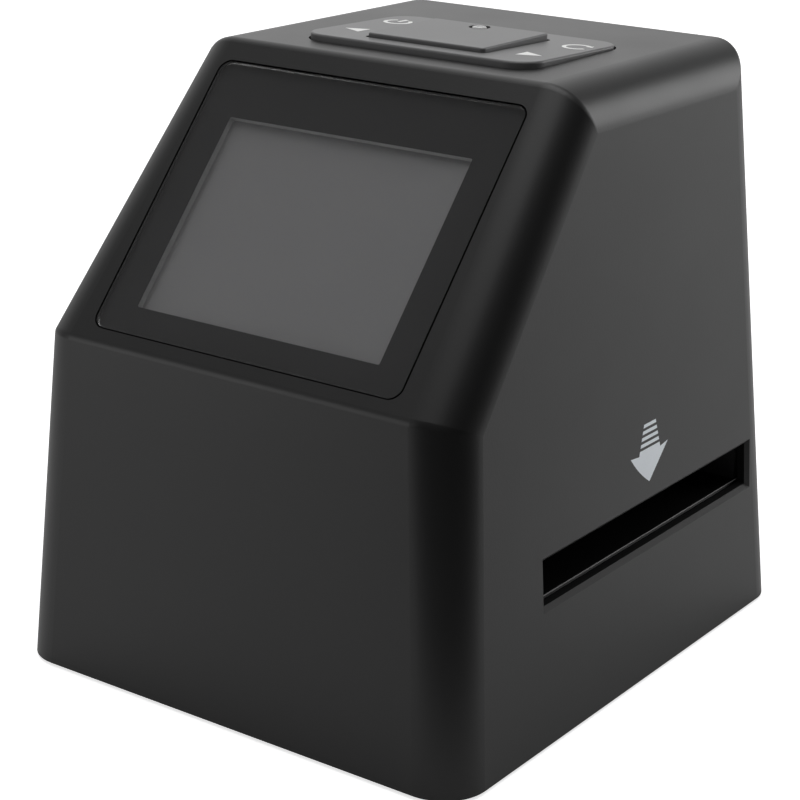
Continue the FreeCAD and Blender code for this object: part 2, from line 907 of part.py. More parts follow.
def chassis_screws():
    """Four long screws through roof and bed into the base posts."""
    length = roof_top_z - bed_low_z + chassis_screw_bite
    screws = []
    head = chassis_head_radius
    for x, y in chassis_places():
        screws.append(
            pan_screw(x, y, roof_top_z, head, chassis_head_height, chassis_screw_radius, length, False)
        )
    return Part.makeCompound(screws)


def catch_ball():
    return Part.makeSphere(ball_radius, vector(ball_x, ball_y, catch_axis_z()))


def catch_spring():
    """Spring of round wire: quarter-turn arcs through points of a helix."""
    bottom = catch_top_z() - spring_seat_clearance - catch_spring_height + catch_spring_wire
    rise = catch_spring_height - 2 * catch_spring_wire

    def at(turn):
        angle = 2 * math.pi * turn
        x = ball_x + catch_spring_radius * math.cos(angle)
        y = ball_y + catch_spring_radius * math.sin(angle)
        return vector(x, y, bottom + rise * turn / catch_spring_turns)

    arcs = []
    steps = 4 * catch_spring_turns
    for i in range(steps):
        arcs.append(Part.Arc(at(i / 4), at((i + 0.5) / 4), at((i + 1) / 4)).toShape())
    path = Part.Wire(arcs)
    start = at(0)
    heading = arcs[0].tangentAt(arcs[0].FirstParameter)
    profile = Part.Wire([Part.makeCircle(catch_spring_wire, start, heading)])
    return path.makePipeShell([profile], True, False)


def catch_plug():
    """Plug pressed into the bore above the spring."""
    top = catch_top_z()
    return post(ball_radius, ball_x, ball_y, top, top + catch_plug_height)


def light_box_ear_places():
    x = light_box_length / 2 + light_box_ear_offset
    return [(-x, slot_centre_y), (x, slot_centre_y)]


def light_box():
    """White tray that spreads the lamps' light up to the diffuser."""
    z0 = board_top_z + seat_gap
    z1 = bed_low_z - seat_gap
    body = rounded_slab(light_box_length, light_box_width, light_box_corner, 0, slot_centre_y, z0, z1)
    ears = []
    for x, y in light_box_ear_places():
        ears.append(post(light_box_ear_radius, x, y, z1 - light_box_ear_height, z1))
    body = fuse_all([body] + ears)
    inside = light_box_wall
    room = rounded_slab(
        light_box_length - 2 * inside - 2 * diffuser_shelf,
        light_box_width - 2 * inside - 2 * diffuser_shelf,
        light_box_corner / 2,
        0,
        slot_centre_y,
        z0 + light_box_floor,
        z1 + overrun,
    )
    rebate = rounded_slab(
        light_box_length - 2 * inside,
        light_box_width - 2 * inside,
        light_box_corner / 2,
        0,
        slot_centre_y,
        z1 - diffuser_thickness - seat_gap,
        z1 + overrun,
    )
    cuts = [room, rebate]
    for x, y in light_box_ear_places():
        cuts.append(post(chassis_screw_radius + screw_hole_clearance, x, y, z0, z1 + overrun))
    return body.cut(Part.makeCompound(cuts)).removeSplitter()


def light_box_screws():
    z1 = bed_low_z - seat_gap - light_box_ear_height
    length = light_box_ear_height + bed_thickness / 2
    screws = []
    head = chassis_head_radius
    for x, y in light_box_ear_places():
        screws.append(pan_screw(x, y, z1, head, chassis_head_height, chassis_screw_radius, length, True))
    return Part.makeCompound(screws)


def diffuser():
    """Opal plate in the rebate of the light box."""
    z1 = bed_low_z - seat_gap
    length = light_box_length - 2 * light_box_wall - 2 * diffuser_clearance
    width = light_box_width - 2 * light_box_wall - 2 * diffuser_clearance
    return rounded_slab(length, width, light_box_corner / 2, 0, slot_centre_y, z1 - diffuser_thickness, z1)


def lamp_board_z():
    return board_top_z + seat_gap + light_box_floor


def lamp_board():
    trim = 2 * (light_box_wall + diffuser_shelf + lamp_board_clearance)
    length = light_box_length - trim
    width = light_box_width - trim
    z0 = lamp_board_z()
    return rounded_slab(length, width, light_box_corner / 2, 0, slot_centre_y, z0, z0 + lamp_board_thickness)


def backlight_lamps():
    """Square white lamps on the lamp board, each with a shallow lens pocket."""
    z0 = lamp_board_z() + lamp_board_thickness
    lamps = []
    for ix in (-1, 0, 1):
        for iy in (-1, 1):
            x = ix * lamp_pitch_x
            y = slot_centre_y + iy * lamp_pitch_y / 2
            half = lamp_size / 2
            lamp = block(x - half, x + half, y - half, y + half, z0, z0 + lamp_height)
            cup_low = vector(x, y, z0 + lamp_height / 2)
            cup = Part.makeCone(half / 2, half * lamp_cup_share, lamp_height / 2, cup_low)
            lamps.append(lamp.cut(cup))
    return Part.makeCompound(lamps)


def tower_screw_places():
    x = tower_base_length / 2 + tower_flange_rim / 2
    y = tower_base_width / 2 - tower_flange_rim / 2
    return corner_places(x, slot_centre_y - y, slot_centre_y + y)


def tower_outline(length, width, corner, z):
    """Round-cornered outline about the middle of the picture gate."""
    return rounded_outline(length, width, corner, 0, slot_centre_y, z)


def camera_tower():
    """Tapered hood between the film roof and the lens, on a screwed flange."""
    length = tower_base_length
    width = tower_base_width
    top = tower_top_side
    trim = 2 * tower_wall
    inner_corner = tower_corner / 2
    outside = Part.makeLoft(
        [
            tower_outline(length, width, tower_corner, tower_z),
            tower_outline(top, top, tower_corner, holder_z),
        ],
        True,
        True,
    )
    inside = Part.makeLoft(
        [
            tower_outline(length - trim, width - trim, inner_corner, tower_z),
            tower_outline(top - trim, top - trim, inner_corner, holder_z),
        ],
        True,
        True,
    )
    y = slot_centre_y
    flange = rounded_slab(length + 2 * tower_flange_rim, width, tower_corner, 0, y, roof_top_z, tower_z)
    window = rounded_slab(length - trim, width - trim, inner_corner, 0, y, roof_top_z, tower_z)
    body = outside.fuse(flange).cut(inside).cut(window)
    hole = tower_screw_radius + screw_hole_clearance
    places = tower_screw_places()
    holes = [post(hole, px, py, roof_top_z - overrun, tower_z + overrun) for px, py in places]
    return body.cut(Part.makeCompound(holes)).removeSplitter()


def tower_screws():
    screws = []
    length = tower_flange + roof_thickness * thread_share
    head = tower_head_radius
    for x, y in tower_screw_places():
        screws.append(pan_screw(x, y, tower_z, head, tower_head_height, tower_screw_radius, length, False))
    return Part.makeCompound(screws)


def lens_holder():
    """Flange and square turret with a threaded bore below and the sensor's chamber above."""
    y = slot_centre_y
    flange = rounded_slab(tower_top_side, tower_top_side, tower_corner, 0, y, holder_z, turret_z)
    side = holder_turret_side
    turret = rounded_slab(side, side, holder_corner, 0, y, turret_z, sensor_board_z)
    shapes = [flange, turret]
    for sx in (-1, 1):
        shapes.append(post(holder_ear_radius, sx * holder_ear_offset, y, turret_z, sensor_board_z))
    body = fuse_all(shapes)
    chamber_low = sensor_board_z - sensor_thickness - filter_thickness - seat_gap
    half = filter_opening / 2
    cavity = sensor_cavity_side / 2
    cuts = [
        post(barrel_radius + thread_clearance, 0, y, holder_z - overrun, chamber_low - filter_ledge),
        block(-half, half, y - half, y + half, chamber_low - filter_ledge - overrun, chamber_low + overrun),
        block(-cavity, cavity, y - cavity, y + cavity, chamber_low, sensor_board_z + overrun),
    ]
    for sx in (-1, 1):
        x = sx * holder_ear_offset
        hole_low = sensor_board_z - 2 * frame_screw_bite
        cuts.append(post(frame_screw_radius + pilot_clearance, x, y, hole_low, sensor_board_z + overrun))
    return body.cut(Part.makeCompound(cuts)).removeSplitter()


def barrel_top_z():
    chamber_low = sensor_board_z - sensor_thickness - filter_thickness - seat_gap
    return chamber_low - filter_ledge - barrel_top_gap


def lens_barrel():
    """Turned tube with a grip ring at its lower end and a bore for the lens elements."""
    z1 = barrel_top_z()
    z0 = z1 - barrel_length
    body = post(barrel_radius, 0, slot_centre_y, z0, z1)
    body = body.fuse(post(barrel_knurl_radius, 0, slot_centre_y, z0 - barrel_knurl_height, z0))
    low = z0 - barrel_knurl_height
    seat = lens_seat_inset + lens_edge_thickness
    cuts = [
        post(barrel_bore_radius, 0, slot_centre_y, low - overrun, low + seat),
        post(barrel_bore_radius - lens_seat_inset, 0, slot_centre_y, low, z1 + overrun),
        post(barrel_bore_radius, 0, slot_centre_y, z1 - seat, z1 + overrun),
    ]
    return body.cut(Part.makeCompound(cuts)).removeSplitter()


def lens_element(z):
    """Glass disc with two domed faces inside a flat rim, its middle at a height."""
    rim = lens_edge_thickness / 2
    sag = lens_centre_thickness / 2 - rim
    reach = barrel_bore_radius - lens_seat_inset - lens_clearance
    curve = (reach ** 2 + sag ** 2) / (2 * sag)
    centre = rim + sag - curve
    dome = post(reach, 0, 0, -rim - sag, rim + sag)
    for side in (-1, 1):
        dome = dome.common(Part.makeSphere(curve, vector(0, 0, side * centre)))
    disc = dome.fuse(post(barrel_bore_radius - lens_clearance, 0, 0, -rim, rim)).removeSplitter()
    disc.translate(vector(0, slot_centre_y, z))
    return disc


def lens_elements():
    z1 = barrel_top_z()
    low = z1 - barrel_length - barrel_knurl_height
    inset = lens_seat_inset + lens_edge_thickness / 2 - lens_clearance
    return Part.makeCompound([lens_element(low + inset), lens_element(z1 - inset)])


def infrared_filter():
    z = sensor_board_z - sensor_thickness - filter_thickness - seat_gap
    half = filter_side / 2
    return block(-half, half, slot_centre_y - half, slot_centre_y + half, z, z + filter_thickness)


def image_sensor():
    """Sensor package with a shallow window facing the lens."""
    half = sensor_side / 2
    y = slot_centre_y
    z0 = sensor_board_z - sensor_thickness
    body = block(-half, half, y - half, y + half, z0, sensor_board_z)
    pit = filter_opening / 2
    return body.cut(block(-pit, pit, y - pit, y + pit, z0 - overrun, z0 + sensor_thickness / 4))


def sensor_board():
    z1 = sensor_board_z + sensor_board_thickness
    board = rounded_slab(
        sensor_board_length, sensor_board_width, holder_corner, 0, slot_centre_y, sensor_board_z, z1
    )
    holes = []
    hole = frame_screw_radius + screw_hole_clearance
    for sx in (-1, 1):
        x = sx * holder_ear_offset
        holes.append(post(hole, x, slot_centre_y, sensor_board_z - overrun, z1 + overrun))
    return board.cut(Part.makeCompound(holes))


def sensor_screws():
    z = sensor_board_z + sensor_board_thickness
    length = sensor_board_thickness + frame_screw_bite
    head = frame_head_radius
    screws = []
    for sx in (-1, 1):
        x = sx * holder_ear_offset
        screws.append(
            pan_screw(x, slot_centre_y, z, head, frame_head_height, frame_screw_radius, length, False)
        )
    return Part.makeCompound(screws)


def screen_window():
    """Clear sheet flush with the sloping face, with a broken outer edge."""
    sheet = rounded_slab(window_width, window_height, window_corner, 0, window_rise, -window_thickness, 0)
    rim = [e for e in sheet.Edges if e.BoundBox.ZMin > -window_thickness / 2]
    return on_slope(sheet.makeChamfer(window_adhesive, rim))


def window_print():
    """Black print on the back of the window, open where the picture shows."""
    z0 = -window_thickness - window_adhesive
    z1 = -window_thickness - print_gap
    corner = window_corner - print_margin / 2
    field = rounded_slab(
        window_width - print_margin, window_height - print_margin, corner, 0, window_rise, z0, z1
    )
    hole = rounded_slab(view_width, view_height, print_margin, 0, view_rise, z0 - overrun, z1 + overrun)
    return on_slope(field.cut(hole))


def screen_gasket():
    """Foam frame between the print and the panel."""
    z1 = -window_thickness - window_adhesive
    z0 = -panel_depth
    length = view_width + 2 * gasket_width
    height = view_height + 2 * gasket_width
    ring = rounded_slab(length, height, gasket_width, 0, view_rise, z0, z1)
    length = view_width + gasket_clearance
    height = view_height + gasket_clearance
    hole = rounded_slab(length, height, print_margin, 0, view_rise, z0 - overrun, z1 + overrun)
    return on_slope(ring.cut(hole))


def lcd_panel():
    """Display panel: glass over a metal tray, with the lit area sunk a little."""
    back = -panel_depth - panel_thickness
    body = rounded_slab(panel_width, panel_height, print_margin, 0, panel_rise, back, -panel_depth)
    half = active_width / 2
    rise = active_height / 2
    floor = -panel_depth - panel_active_step
    lit = block(-half, half, view_rise - rise, view_rise + rise, floor, overrun)
    return on_slope(body.cut(lit))


def lcd_frame():
    """Moulded frame behind the panel, screwed to the housing by four ears."""
    middle = panel_rise
    low = -panel_depth - panel_thickness
    z0 = low - frame_back
    length = panel_width + 2 * frame_clearance + 2 * frame_rim
    height = panel_height + 2 * frame_clearance + 2 * frame_rim
    body = rounded_slab(length, height, frame_rim, 0, middle, z0, low + panel_thickness / 2)
    grow = 2 * frame_clearance
    room = rounded_slab(panel_width + grow, panel_height + grow, print_margin, 0, middle, low, overrun)
    body = body.cut(room)
    ears = [post(frame_ear_radius, u, v, z0, low) for u, v in frame_ear_places()]
    body = fuse_all([body] + ears)
    opening = rounded_slab(
        panel_width - 2 * frame_window_margin,
        panel_height - 2 * frame_window_margin,
        frame_rim,
        0,
        middle,
        z0 - overrun,
        low + overrun,
    )
    cuts = [opening]
    for u, v in frame_ear_places():
        cuts.append(post(frame_screw_radius + screw_hole_clearance, u, v, z0 - overrun, low + overrun))
        cuts.append(post(frame_ear_radius + frame_clearance, u, v, low, overrun))
    notch = lcd_ribbon_width / 2 + frame_clearance
    front = middle - height / 2
    cuts.append(block(-notch, notch, front - overrun, middle - panel_height / 2, z0 - overrun, overrun))
    return on_slope(body.cut(Part.makeCompound(cuts)).removeSplitter())


def lcd_frame_screws():
    low = -panel_depth - panel_thickness - frame_back
    length = frame_back + frame_screw_bite - frame_head_height / 2
    screws = []
    for u, v in frame_ear_places():
        screw = pan_screw(u, v, low, frame_head_radius, frame_head_height, frame_screw_radius, length, True)
        screws.append(on_slope(screw))
    return Part.makeCompound(screws)


def plate_low_z():
    """Lower face of the key plate's skirt."""
    return roof_inner_z - plate_flange_drop - plate_flange_height


def key_plate():
    """Rocking plate: thin skin that leans back a little, a skirt with a stop flange, four nubs and the
    sleeve round the square key."""
    low = plate_low_z()
    high = top_z + plate_front_proud
    body = rounded_slab(plate_length, plate_width, plate_corner, keys_x, keys_y, low, high + overrun)
    front_y = keys_y - plate_width / 2
    back_y = keys_y + plate_width / 2
    lean = (plate_front_proud - plate_back_proud) / plate_width
    rise = overrun * lean

    def under_skin(drop):
        """Everything above a plane that lies under the leaning top by the drop."""
        return polygon_prism(
            [
                vector(-plate_length, front_y - overrun, top_z + plate_front_proud - drop + rise),
                vector(-plate_length, back_y + overrun, top_z + plate_back_proud - drop - rise),
                vector(-plate_length, back_y + overrun, top_z + 2 * overrun + plate_front_proud),
                vector(-plate_length, front_y - overrun, top_z + 2 * overrun + plate_front_proud),
            ],
            vector(2 * plate_length, 0, 0),
        )

    body = body.cut(under_skin(0))
    top_face = max(body.Faces, key=lambda face: face.CenterOfMass.z)
    body = body.makeFillet(plate_edge_round, top_face.Edges)
    trim = 2 * plate_side_wall
    inner_corner = plate_corner - plate_side_wall
    length = plate_length - trim
    width = plate_width - trim
    room = rounded_slab(length, width, inner_corner, keys_x, keys_y, low - overrun, high)
    body = body.cut(room.cut(under_skin(plate_skin)))
    flange_top = low + plate_flange_height
    flange = rounded_slab(
        plate_length + 2 * plate_flange,
        plate_width + 2 * plate_flange,
        plate_corner + plate_flange,
        keys_x,
        keys_y,
        low,
        flange_top,
    ).cut(rounded_slab(length, width, inner_corner, keys_x, keys_y, low, high))
    skin_middle_z = top_z + plate_back_proud - plate_skin / 2
    corner = ok_corner + ok_gap
    length = ok_length + 2 * (ok_gap + ok_sleeve_wall)
    width = ok_width + 2 * (ok_gap + ok_sleeve_wall)
    sleeve = rounded_slab(length, width, corner, keys_x, ok_y, low, skin_middle_z)
    length += 2 * sleeve_foot
    width += 2 * sleeve_foot
    foot = rounded_slab(length, width, corner, keys_x, ok_y, low, flange_top)
    nub_low = key_board_top_z + switch_height + plunger_height + nub_gap
    nubs = [post(nub_radius, x, y, nub_low, skin_middle_z) for x, y in switch_places()]
    body = fuse_all([body, flange, sleeve, foot] + nubs)
    length = ok_length + 2 * ok_gap
    width = ok_width + 2 * ok_gap
    hole = rounded_slab(length, width, corner, keys_x, ok_y, low - overrun, high + overrun)
    return body.cut(hole).removeSplitter()


def ok_low_z():
    """Top of the square key's stop flange, under the sleeve of the key plate."""
    return plate_low_z() - ok_flange_drop


def ok_key():
    """Square centre key: hollow cap with a stop flange, a middle post and the hole of the status light."""
    high = top_z + ok_proud
    flange_top = ok_low_z()
    low = flange_top - ok_flange_height
    body = rounded_slab(ok_length, ok_width, ok_corner, keys_x, ok_y, low, high)
    body = body.makeFillet(ok_edge_round, [e for e in body.Edges if e.BoundBox.ZMin > high - ok_edge_round])
    length = ok_length - 2 * ok_side_wall
    width = ok_width - 2 * ok_side_wall
    room = rounded_slab(length, width, ok_corner / 2, keys_x, ok_y, low - overrun, high - ok_skin)
    body = body.cut(room)
    grow = 2 * ok_flange
    flange = rounded_slab(ok_length + grow, ok_width + grow, ok_corner, keys_x, ok_y, low, flange_top)
    flange = flange.cut(room)
    skin_middle_z = high - ok_skin / 2
    stem = post(nub_radius, keys_x, ok_y, plunger_top_z(), skin_middle_z)
    collar = light_rod_radius + light_rod_collar
    tube_low = high - ok_skin - light_rod_collar_height
    tube = post(collar + ok_edge_round, light_x, light_y, tube_low, skin_middle_z)
    body = fuse_all([body, flange, stem, tube])
    hole = post(light_hole_radius, light_x, light_y, low - overrun, high + overrun)
    seat = post(collar + thread_clearance, light_x, light_y, low - overrun, high - ok_skin)
    return body.cut(hole).cut(seat).removeSplitter()


def plunger_top_z():
    return key_board_top_z + switch_height + plunger_height


def status_light_rod():
    """Clear rod with a domed head and a collar that stops under the key's skin."""
    high = top_z + ok_proud
    lamp_top = key_board_top_z + status_lamp_height
    rod = post(light_rod_radius, light_x, light_y, lamp_top + light_rod_gap, high + light_rod_proud)
    crown = [e for e in rod.Edges if e.Closed and e.BoundBox.ZMin > high]
    rod = rod.makeFillet(2 * light_rod_proud, crown)
    collar_top = high - ok_skin
    radius = light_rod_radius + light_rod_collar
    collar = post(radius, light_x, light_y, collar_top - light_rod_collar_height, collar_top)
    return fuse_all([rod, collar])


def ok_plunger():
    """Button of the middle switch, under the square key's post."""
    top = plunger_top_z()
    return post(plunger_radius, keys_x, ok_y, top - plunger_height - plunger_sink, top)


def switch_places():
    """Corner switches under the key plate."""
    return key_places(plate_length / 2 - switch_inset_x, plate_width / 2 - switch_inset_y)


def key_switches():
    """Five push switches: square cans, with fixed buttons at the corners and an open bore in the middle."""
    z0 = key_board_top_z
    z1 = z0 + switch_height
    half = switch_side / 2
    cans = []
    for x, y in switch_places():
        can = block(x - half, x + half, y - half, y + half, z0, z1)
        cans.append(can.fuse(post(plunger_radius, x, y, z1 - plunger_height, z1 + plunger_height)))
    middle = block(keys_x - half, keys_x + half, ok_y - half, ok_y + half, z0, z1)
    bore_low = z1 - plunger_sink - ok_travel - plunger_clearance
    middle = middle.cut(post(plunger_radius + plunger_clearance, keys_x, ok_y, bore_low, z1 + overrun))
    cans.append(middle)
    return Part.makeCompound(cans)


def key_ring():
    """Soft ring between the key board and the key plate's sleeve foot."""
    z0 = key_board_top_z + ring_end_gap
    z1 = plate_low_z() - ring_end_gap
    length = ok_length + 2 * (ok_flange + ring_clearance)
    width = ok_width + 2 * (ok_flange + ring_clearance)
    grow = 2 * ring_width
    outer = rounded_slab(length + grow, width + grow, ok_corner + ring_width, keys_x, ok_y, z0, z1)
    return outer.cut(rounded_slab(length, width, ok_corner, keys_x, ok_y, z0 - overrun, z1 + overrun))


def key_board():
    z1 = key_board_top_z
    z0 = z1 - key_board_thickness
    board = rounded_slab(key_board_length, key_board_width, key_boss_inset, keys_x, keys_y, z0, z1)
    hole = key_screw_radius + screw_hole_clearance
    holes = [post(hole, x, y, z0 - overrun, top_z) for x, y in key_boss_places()]
    return board.cut(Part.makeCompound(holes))


def key_board_screws():
    z = key_board_top_z - key_board_thickness
    length = key_board_drop - wall - key_head_height
    screws = []
    for x, y in key_boss_places():
        screws.append(pan_screw(x, y, z, key_head_radius, key_head_height, key_screw_radius, length, True))
    return Part.makeCompound(screws)


def status_lamp():
    a = status_lamp_length / 2
    b = status_lamp_width / 2
    x = light_x
    y = light_y
    return block(x - a, x + a, y - b, y + b, key_board_top_z, key_board_top_z + status_lamp_height)


def board_edges():
    """Main board's front and back edges."""
    y0 = front_wall_y(board_top_z, wall + board_front_gap)
    y1 = back_wall_y(board_top_z, wall + board_back_gap)
    return y0, y1


def board_screw_places():
    y0, y1 = board_edges()
    x = board_half_width - board_screw_inset
    return corner_places(x, y0 + board_screw_inset, slot_centre_y + slot_length / 4)


def main_board():
    """Main board with notches round the chassis posts."""
    y0, y1 = board_edges()
    board = block(-board_half_width, board_half_width, y0, y1, board_low_z, board_top_z)
    z0 = board_low_z - overrun
    z1 = board_top_z + overrun
    notch = chassis_boss_radius + chassis_boss_gap
    hole = board_screw_radius + screw_hole_clearance
    cuts = [post(notch, x, y, z0, z1) for x, y in chassis_places()]
    cuts += [post(hole, x, y, z0, z1) for x, y in board_screw_places()]
    return board.cut(Part.makeCompound(cuts))


def board_screws():
    length = board_thickness + board_standoff * thread_share
    screws = []
    z = board_top_z
    for x, y in board_screw_places():
        screws.append(
            pan_screw(x, y, z, board_head_radius, board_head_height, board_screw_radius, length, False)
        )
    return Part.makeCompound(screws)


def board_chips():
    """Processor and two memory chips in front of the light box."""
    connector_back_y = sensor_connector_y() + connector_depth / 2
    y = (connector_back_y + slot_centre_y - light_box_width / 2) / 2
    z0 = board_top_z
    z1 = z0 + chip_height
    half = processor_side / 2
    chips = [block(-half, half, y - half, y + half, z0, z1)]
    for side in (-1, 1):
        x = side * (half + chip_gap + memory_length / 2)
        a = memory_length / 2
        b = memory_width / 2
        chips.append(block(x - a, x + a, y - b, y + b, z0, z1))
    return Part.makeCompound(chips)


def board_capacitors():
    """Row of can capacitors beside the card socket."""
    y = slot_centre_y + light_box_width / 2 + chip_gap
    cans = []
    for i in range(2):
        x = usb_x - usb_width / 2 + i * capacitor_pitch
        can = post(capacitor_radius, x, y, board_top_z, board_top_z + capacitor_height)
        rim = [e for e in can.Edges if e.Closed and e.BoundBox.ZMin > board_top_z + capacitor_height / 2]
        cans.append(can.makeFillet(capacitor_radius * can_round_share, rim))
    return Part.makeCompound(cans)


def card_socket():
    """Folded steel shell, open at the back for a memory card."""
    half = card_socket_width / 2
    y1 = socket_back_y()
    y0 = slot_centre_y + light_box_width / 2 + card_socket_gap
    z0 = board_top_z
    z1 = z0 + card_socket_height
    x = card_socket_x
    body = block(x - half, x + half, y0, y1, z0, z1)
    room_half = card_width / 2
    middle = (z0 + z1) / 2
    room = block(
        x - room_half,
        x + room_half,
        y0 + card_shell,
        y1 + overrun,
        middle - card_thickness / 2,
        middle + card_thickness / 2,
    )
    return body.cut(room)


def usb_socket():
    """Small power and data socket with its tongue."""
    y1 = socket_back_y()
    y0 = y1 - usb_length
    z0 = board_top_z
    z1 = z0 + usb_height
    a = usb_width / 2
    shell = block(usb_x - a, usb_x + a, y0, y1, z0, z1)
    slim = usb_height / 4

    def low_edges(form):
        return [e for e in form.Edges if e.BoundBox.YLength > usb_length / 2 and e.BoundBox.ZMax < z0 + slim]

    shell = shell.makeChamfer(slim, low_edges(shell))
    t = usb_shell
    inside = block(usb_x - a + t, usb_x + a - t, y0 + t, y1 + overrun, z0 + t, z1 - t)
    inside = inside.makeChamfer(slim - usb_shell / 2, low_edges(inside))
    middle = (z0 + z1) / 2
    tongue = block(
        usb_x - a + usb_tongue_margin,
        usb_x + a - usb_tongue_margin,
        y0,
        y1 - usb_tongue_margin,
        middle - usb_tongue_thickness / 2,
        middle + usb_tongue_thickness / 2,
    )
    return shell.cut(inside).fuse(tongue).removeSplitter()


def ribbon(points, width, x):
    """Flat cable: a strip that follows points of the side view, with every bend rounded."""
    half = ribbon_thickness / 2
    stations = []
    for i in range(1, len(points) - 1):
        before = (vector(0, *points[i]) - vector(0, *points[i - 1])).normalize()
        after = (vector(0, *points[i + 1]) - vector(0, *points[i])).normalize()
        turn = before.getAngle(after)
        reach = ribbon_bend * math.tan(turn / 2)
        corner = vector(0, *points[i])
        side = math.copysign(1, before.y * after.z - before.z * after.y)
        start = corner - before * reach
        end = corner + after * reach
        inward = vector(0, -before.z, before.y) * side
        centre = start + inward * ribbon_bend
        out = (corner - centre).normalize()
        stations.append((start, end, centre, out, side, before, after))

    def normal(direction):
        return vector(0, -direction.z, direction.y)

    first = (vector(0, *points[1]) - vector(0, *points[0])).normalize()
    last = (vector(0, *points[-1]) - vector(0, *points[-2])).normalize()

    def edge_line(offset):
        here = vector(0, *points[0]) + normal(first) * offset
        pieces = []
        for start, end, centre, out, side, before, after in stations:
            a = start + normal(before) * offset
            b = end + normal(after) * offset
            middle = centre + out * (ribbon_bend - side * offset)
            pieces.append(Part.LineSegment(here, a).toShape())
            pieces.append(Part.Arc(a, middle, b).toShape())
            here = b
        finish = vector(0, *points[-1]) + normal(last) * offset
        pieces.append(Part.LineSegment(here, finish).toShape())
        return pieces, finish

    one, one_end = edge_line(half)
    two, two_end = edge_line(-half)
    begin = vector(0, *points[0])
    start_cap = Part.LineSegment(begin - normal(first) * half, begin + normal(first) * half)
    end_cap = Part.LineSegment(one_end, two_end)
    ordered = Part.sortEdges(one + two + [start_cap.toShape(), end_cap.toShape()])[0]
    strip = Part.Face(Part.Wire(ordered)).extrude(vector(width, 0, 0))
    strip.translate(vector(x - width / 2, 0, 0))
    return strip


def connector_level():
    """Height at which a ribbon enters its connector on the main board."""
    return board_top_z + connector_height / 2


def lcd_connector_y():
    return board_edges()[0] + connector_depth / 2


def sensor_connector_y():
    return channel_front_y - ribbon_wall_gap - connector_depth


def key_connector_y():
    return channel_back_y - connector_depth


def lcd_ribbon():
    """From the panel's lower edge down along the front wall to the main board."""
    lower = panel_rise - panel_height / 2
    deep = panel_depth + panel_thickness / 2
    start = slope_point(0, lower, deep)
    knee = slope_point(0, lower - 2 * ribbon_bend, deep)
    level = connector_level()
    end_y = lcd_connector_y() - connector_depth / 2 + connector_mouth
    route = [(start.y, start.z), (knee.y, knee.z), (knee.y, level), (end_y, level)]
    return ribbon(route, lcd_ribbon_width, 0)


def sensor_ribbon():
    """From the sensor board forward, down in front of the film channel to the main board."""
    top = sensor_board_z + sensor_board_thickness + connector_height / 2
    start_y = slot_centre_y - sensor_board_width / 2 + sensor_connector_inset
    start_y += connector_mouth - connector_depth / 2
    front_y = slot_centre_y - tower_base_width / 2 - ribbon_wall_gap
    down_y = channel_front_y - ribbon_wall_gap
    level = connector_level()
    end_y = sensor_connector_y() + connector_depth / 2 - connector_mouth
    shelf = roof_top_z + tower_flange_rim
    route = [(start_y, top), (front_y, top), (front_y, shelf + tower_flange_rim)]
    route += [(down_y, shelf), (down_y, level), (end_y, level)]
    return ribbon(route, sensor_ribbon_width, 0)


def key_ribbon():
    """From the key board backwards and down behind the film channel to the main board."""
    top = key_board_top_z - key_board_thickness - connector_height / 2
    start_y = keys_y + key_board_width / 2 - connector_depth / 2 - connector_mouth
    back_y = (channel_back_y + keys_y + key_board_width / 2) / 2
    down_y = channel_back_y + ribbon_wall_gap
    level = connector_level()
    end_y = key_connector_y() + connector_depth / 2 - connector_mouth
    shelf = roof_top_z + tower_flange_rim
    route = [(start_y, top), (back_y, top), (back_y, shelf + 2 * tower_flange_rim)]
    route += [(down_y, shelf), (down_y, level), (end_y, level)]
    return ribbon(route, key_ribbon_width, key_ribbon_x)


def connector(width, x, y, z0, opens):
    """Ribbon connector with its mouth towards the front (-1) or the back (1)."""
    half = width / 2 + connector_margin
    deep = connector_depth / 2
    body = block(x - half, x + half, y - deep, y + deep, z0, z0 + connector_height)
    slit = ribbon_thickness
    middle = z0 + connector_height / 2
    edge = y + opens * deep
    inner = edge - opens * 2 * connector_mouth
    cut = block(
        x - width / 2 - slit,
        x + width / 2 + slit,
        min(edge, inner),
        max(edge, inner),
        middle - slit,
        middle + slit,
    )
    return body.cut(cut)


def ribbon_connectors():
    """Five connectors: three on the main board, one on the sensor board and one under the key board."""
    return Part.makeCompound(
        [
            connector(lcd_ribbon_width, 0, lcd_connector_y(), board_top_z, -1),
            connector(sensor_ribbon_width, 0, sensor_connector_y(), board_top_z, 1),
            connector(key_ribbon_width, key_ribbon_x, key_connector_y(), board_top_z, 1),
            connector(
                sensor_ribbon_width,
                0,
                slot_centre_y - sensor_board_width / 2 + sensor_connector_inset,
                sensor_board_z + sensor_board_thickness,
                -1,
            ),
            connector(
                key_ribbon_width,
                key_ribbon_x,
                keys_y + key_board_width / 2 - connector_depth,
                key_board_top_z - key_board_thickness - connector_height,
                1,
            ),
        ]
    )


pieces = [
    main_housing,
    base_plate,
    rubber_feet,
    base_screws,
    screen_window,
    window_print,
    screen_gasket,
    lcd_panel,
    lcd_frame,
    lcd_frame_screws,
    lcd_ribbon,
    key_plate,
    ok_key,
    status_light_rod,
    ok_plunger,
    key_ring,
    key_board,
    key_switches,
    status_lamp,
    key_board_screws,
    key_ribbon,
    film_bed,
    film_rails,
    film_roof,
    chassis_screws,
    catch_ball,
    catch_spring,
    catch_plug,
    light_box,
    light_box_screws,
    diffuser,
    lamp_board,
    backlight_lamps,
    camera_tower,
    tower_screws,
    lens_holder,
    lens_barrel,
    lens_elements,
    infrared_filter,
    image_sensor,
    sensor_board,
    sensor_screws,
    sensor_ribbon,
    main_board,
    board_screws,
    board_chips,
    board_capacitors,
    card_socket,
    usb_socket,
    ribbon_connectors,
]

for piece in pieces:
    piece().exportStep("parts/" + piece.__name__ + ".step")
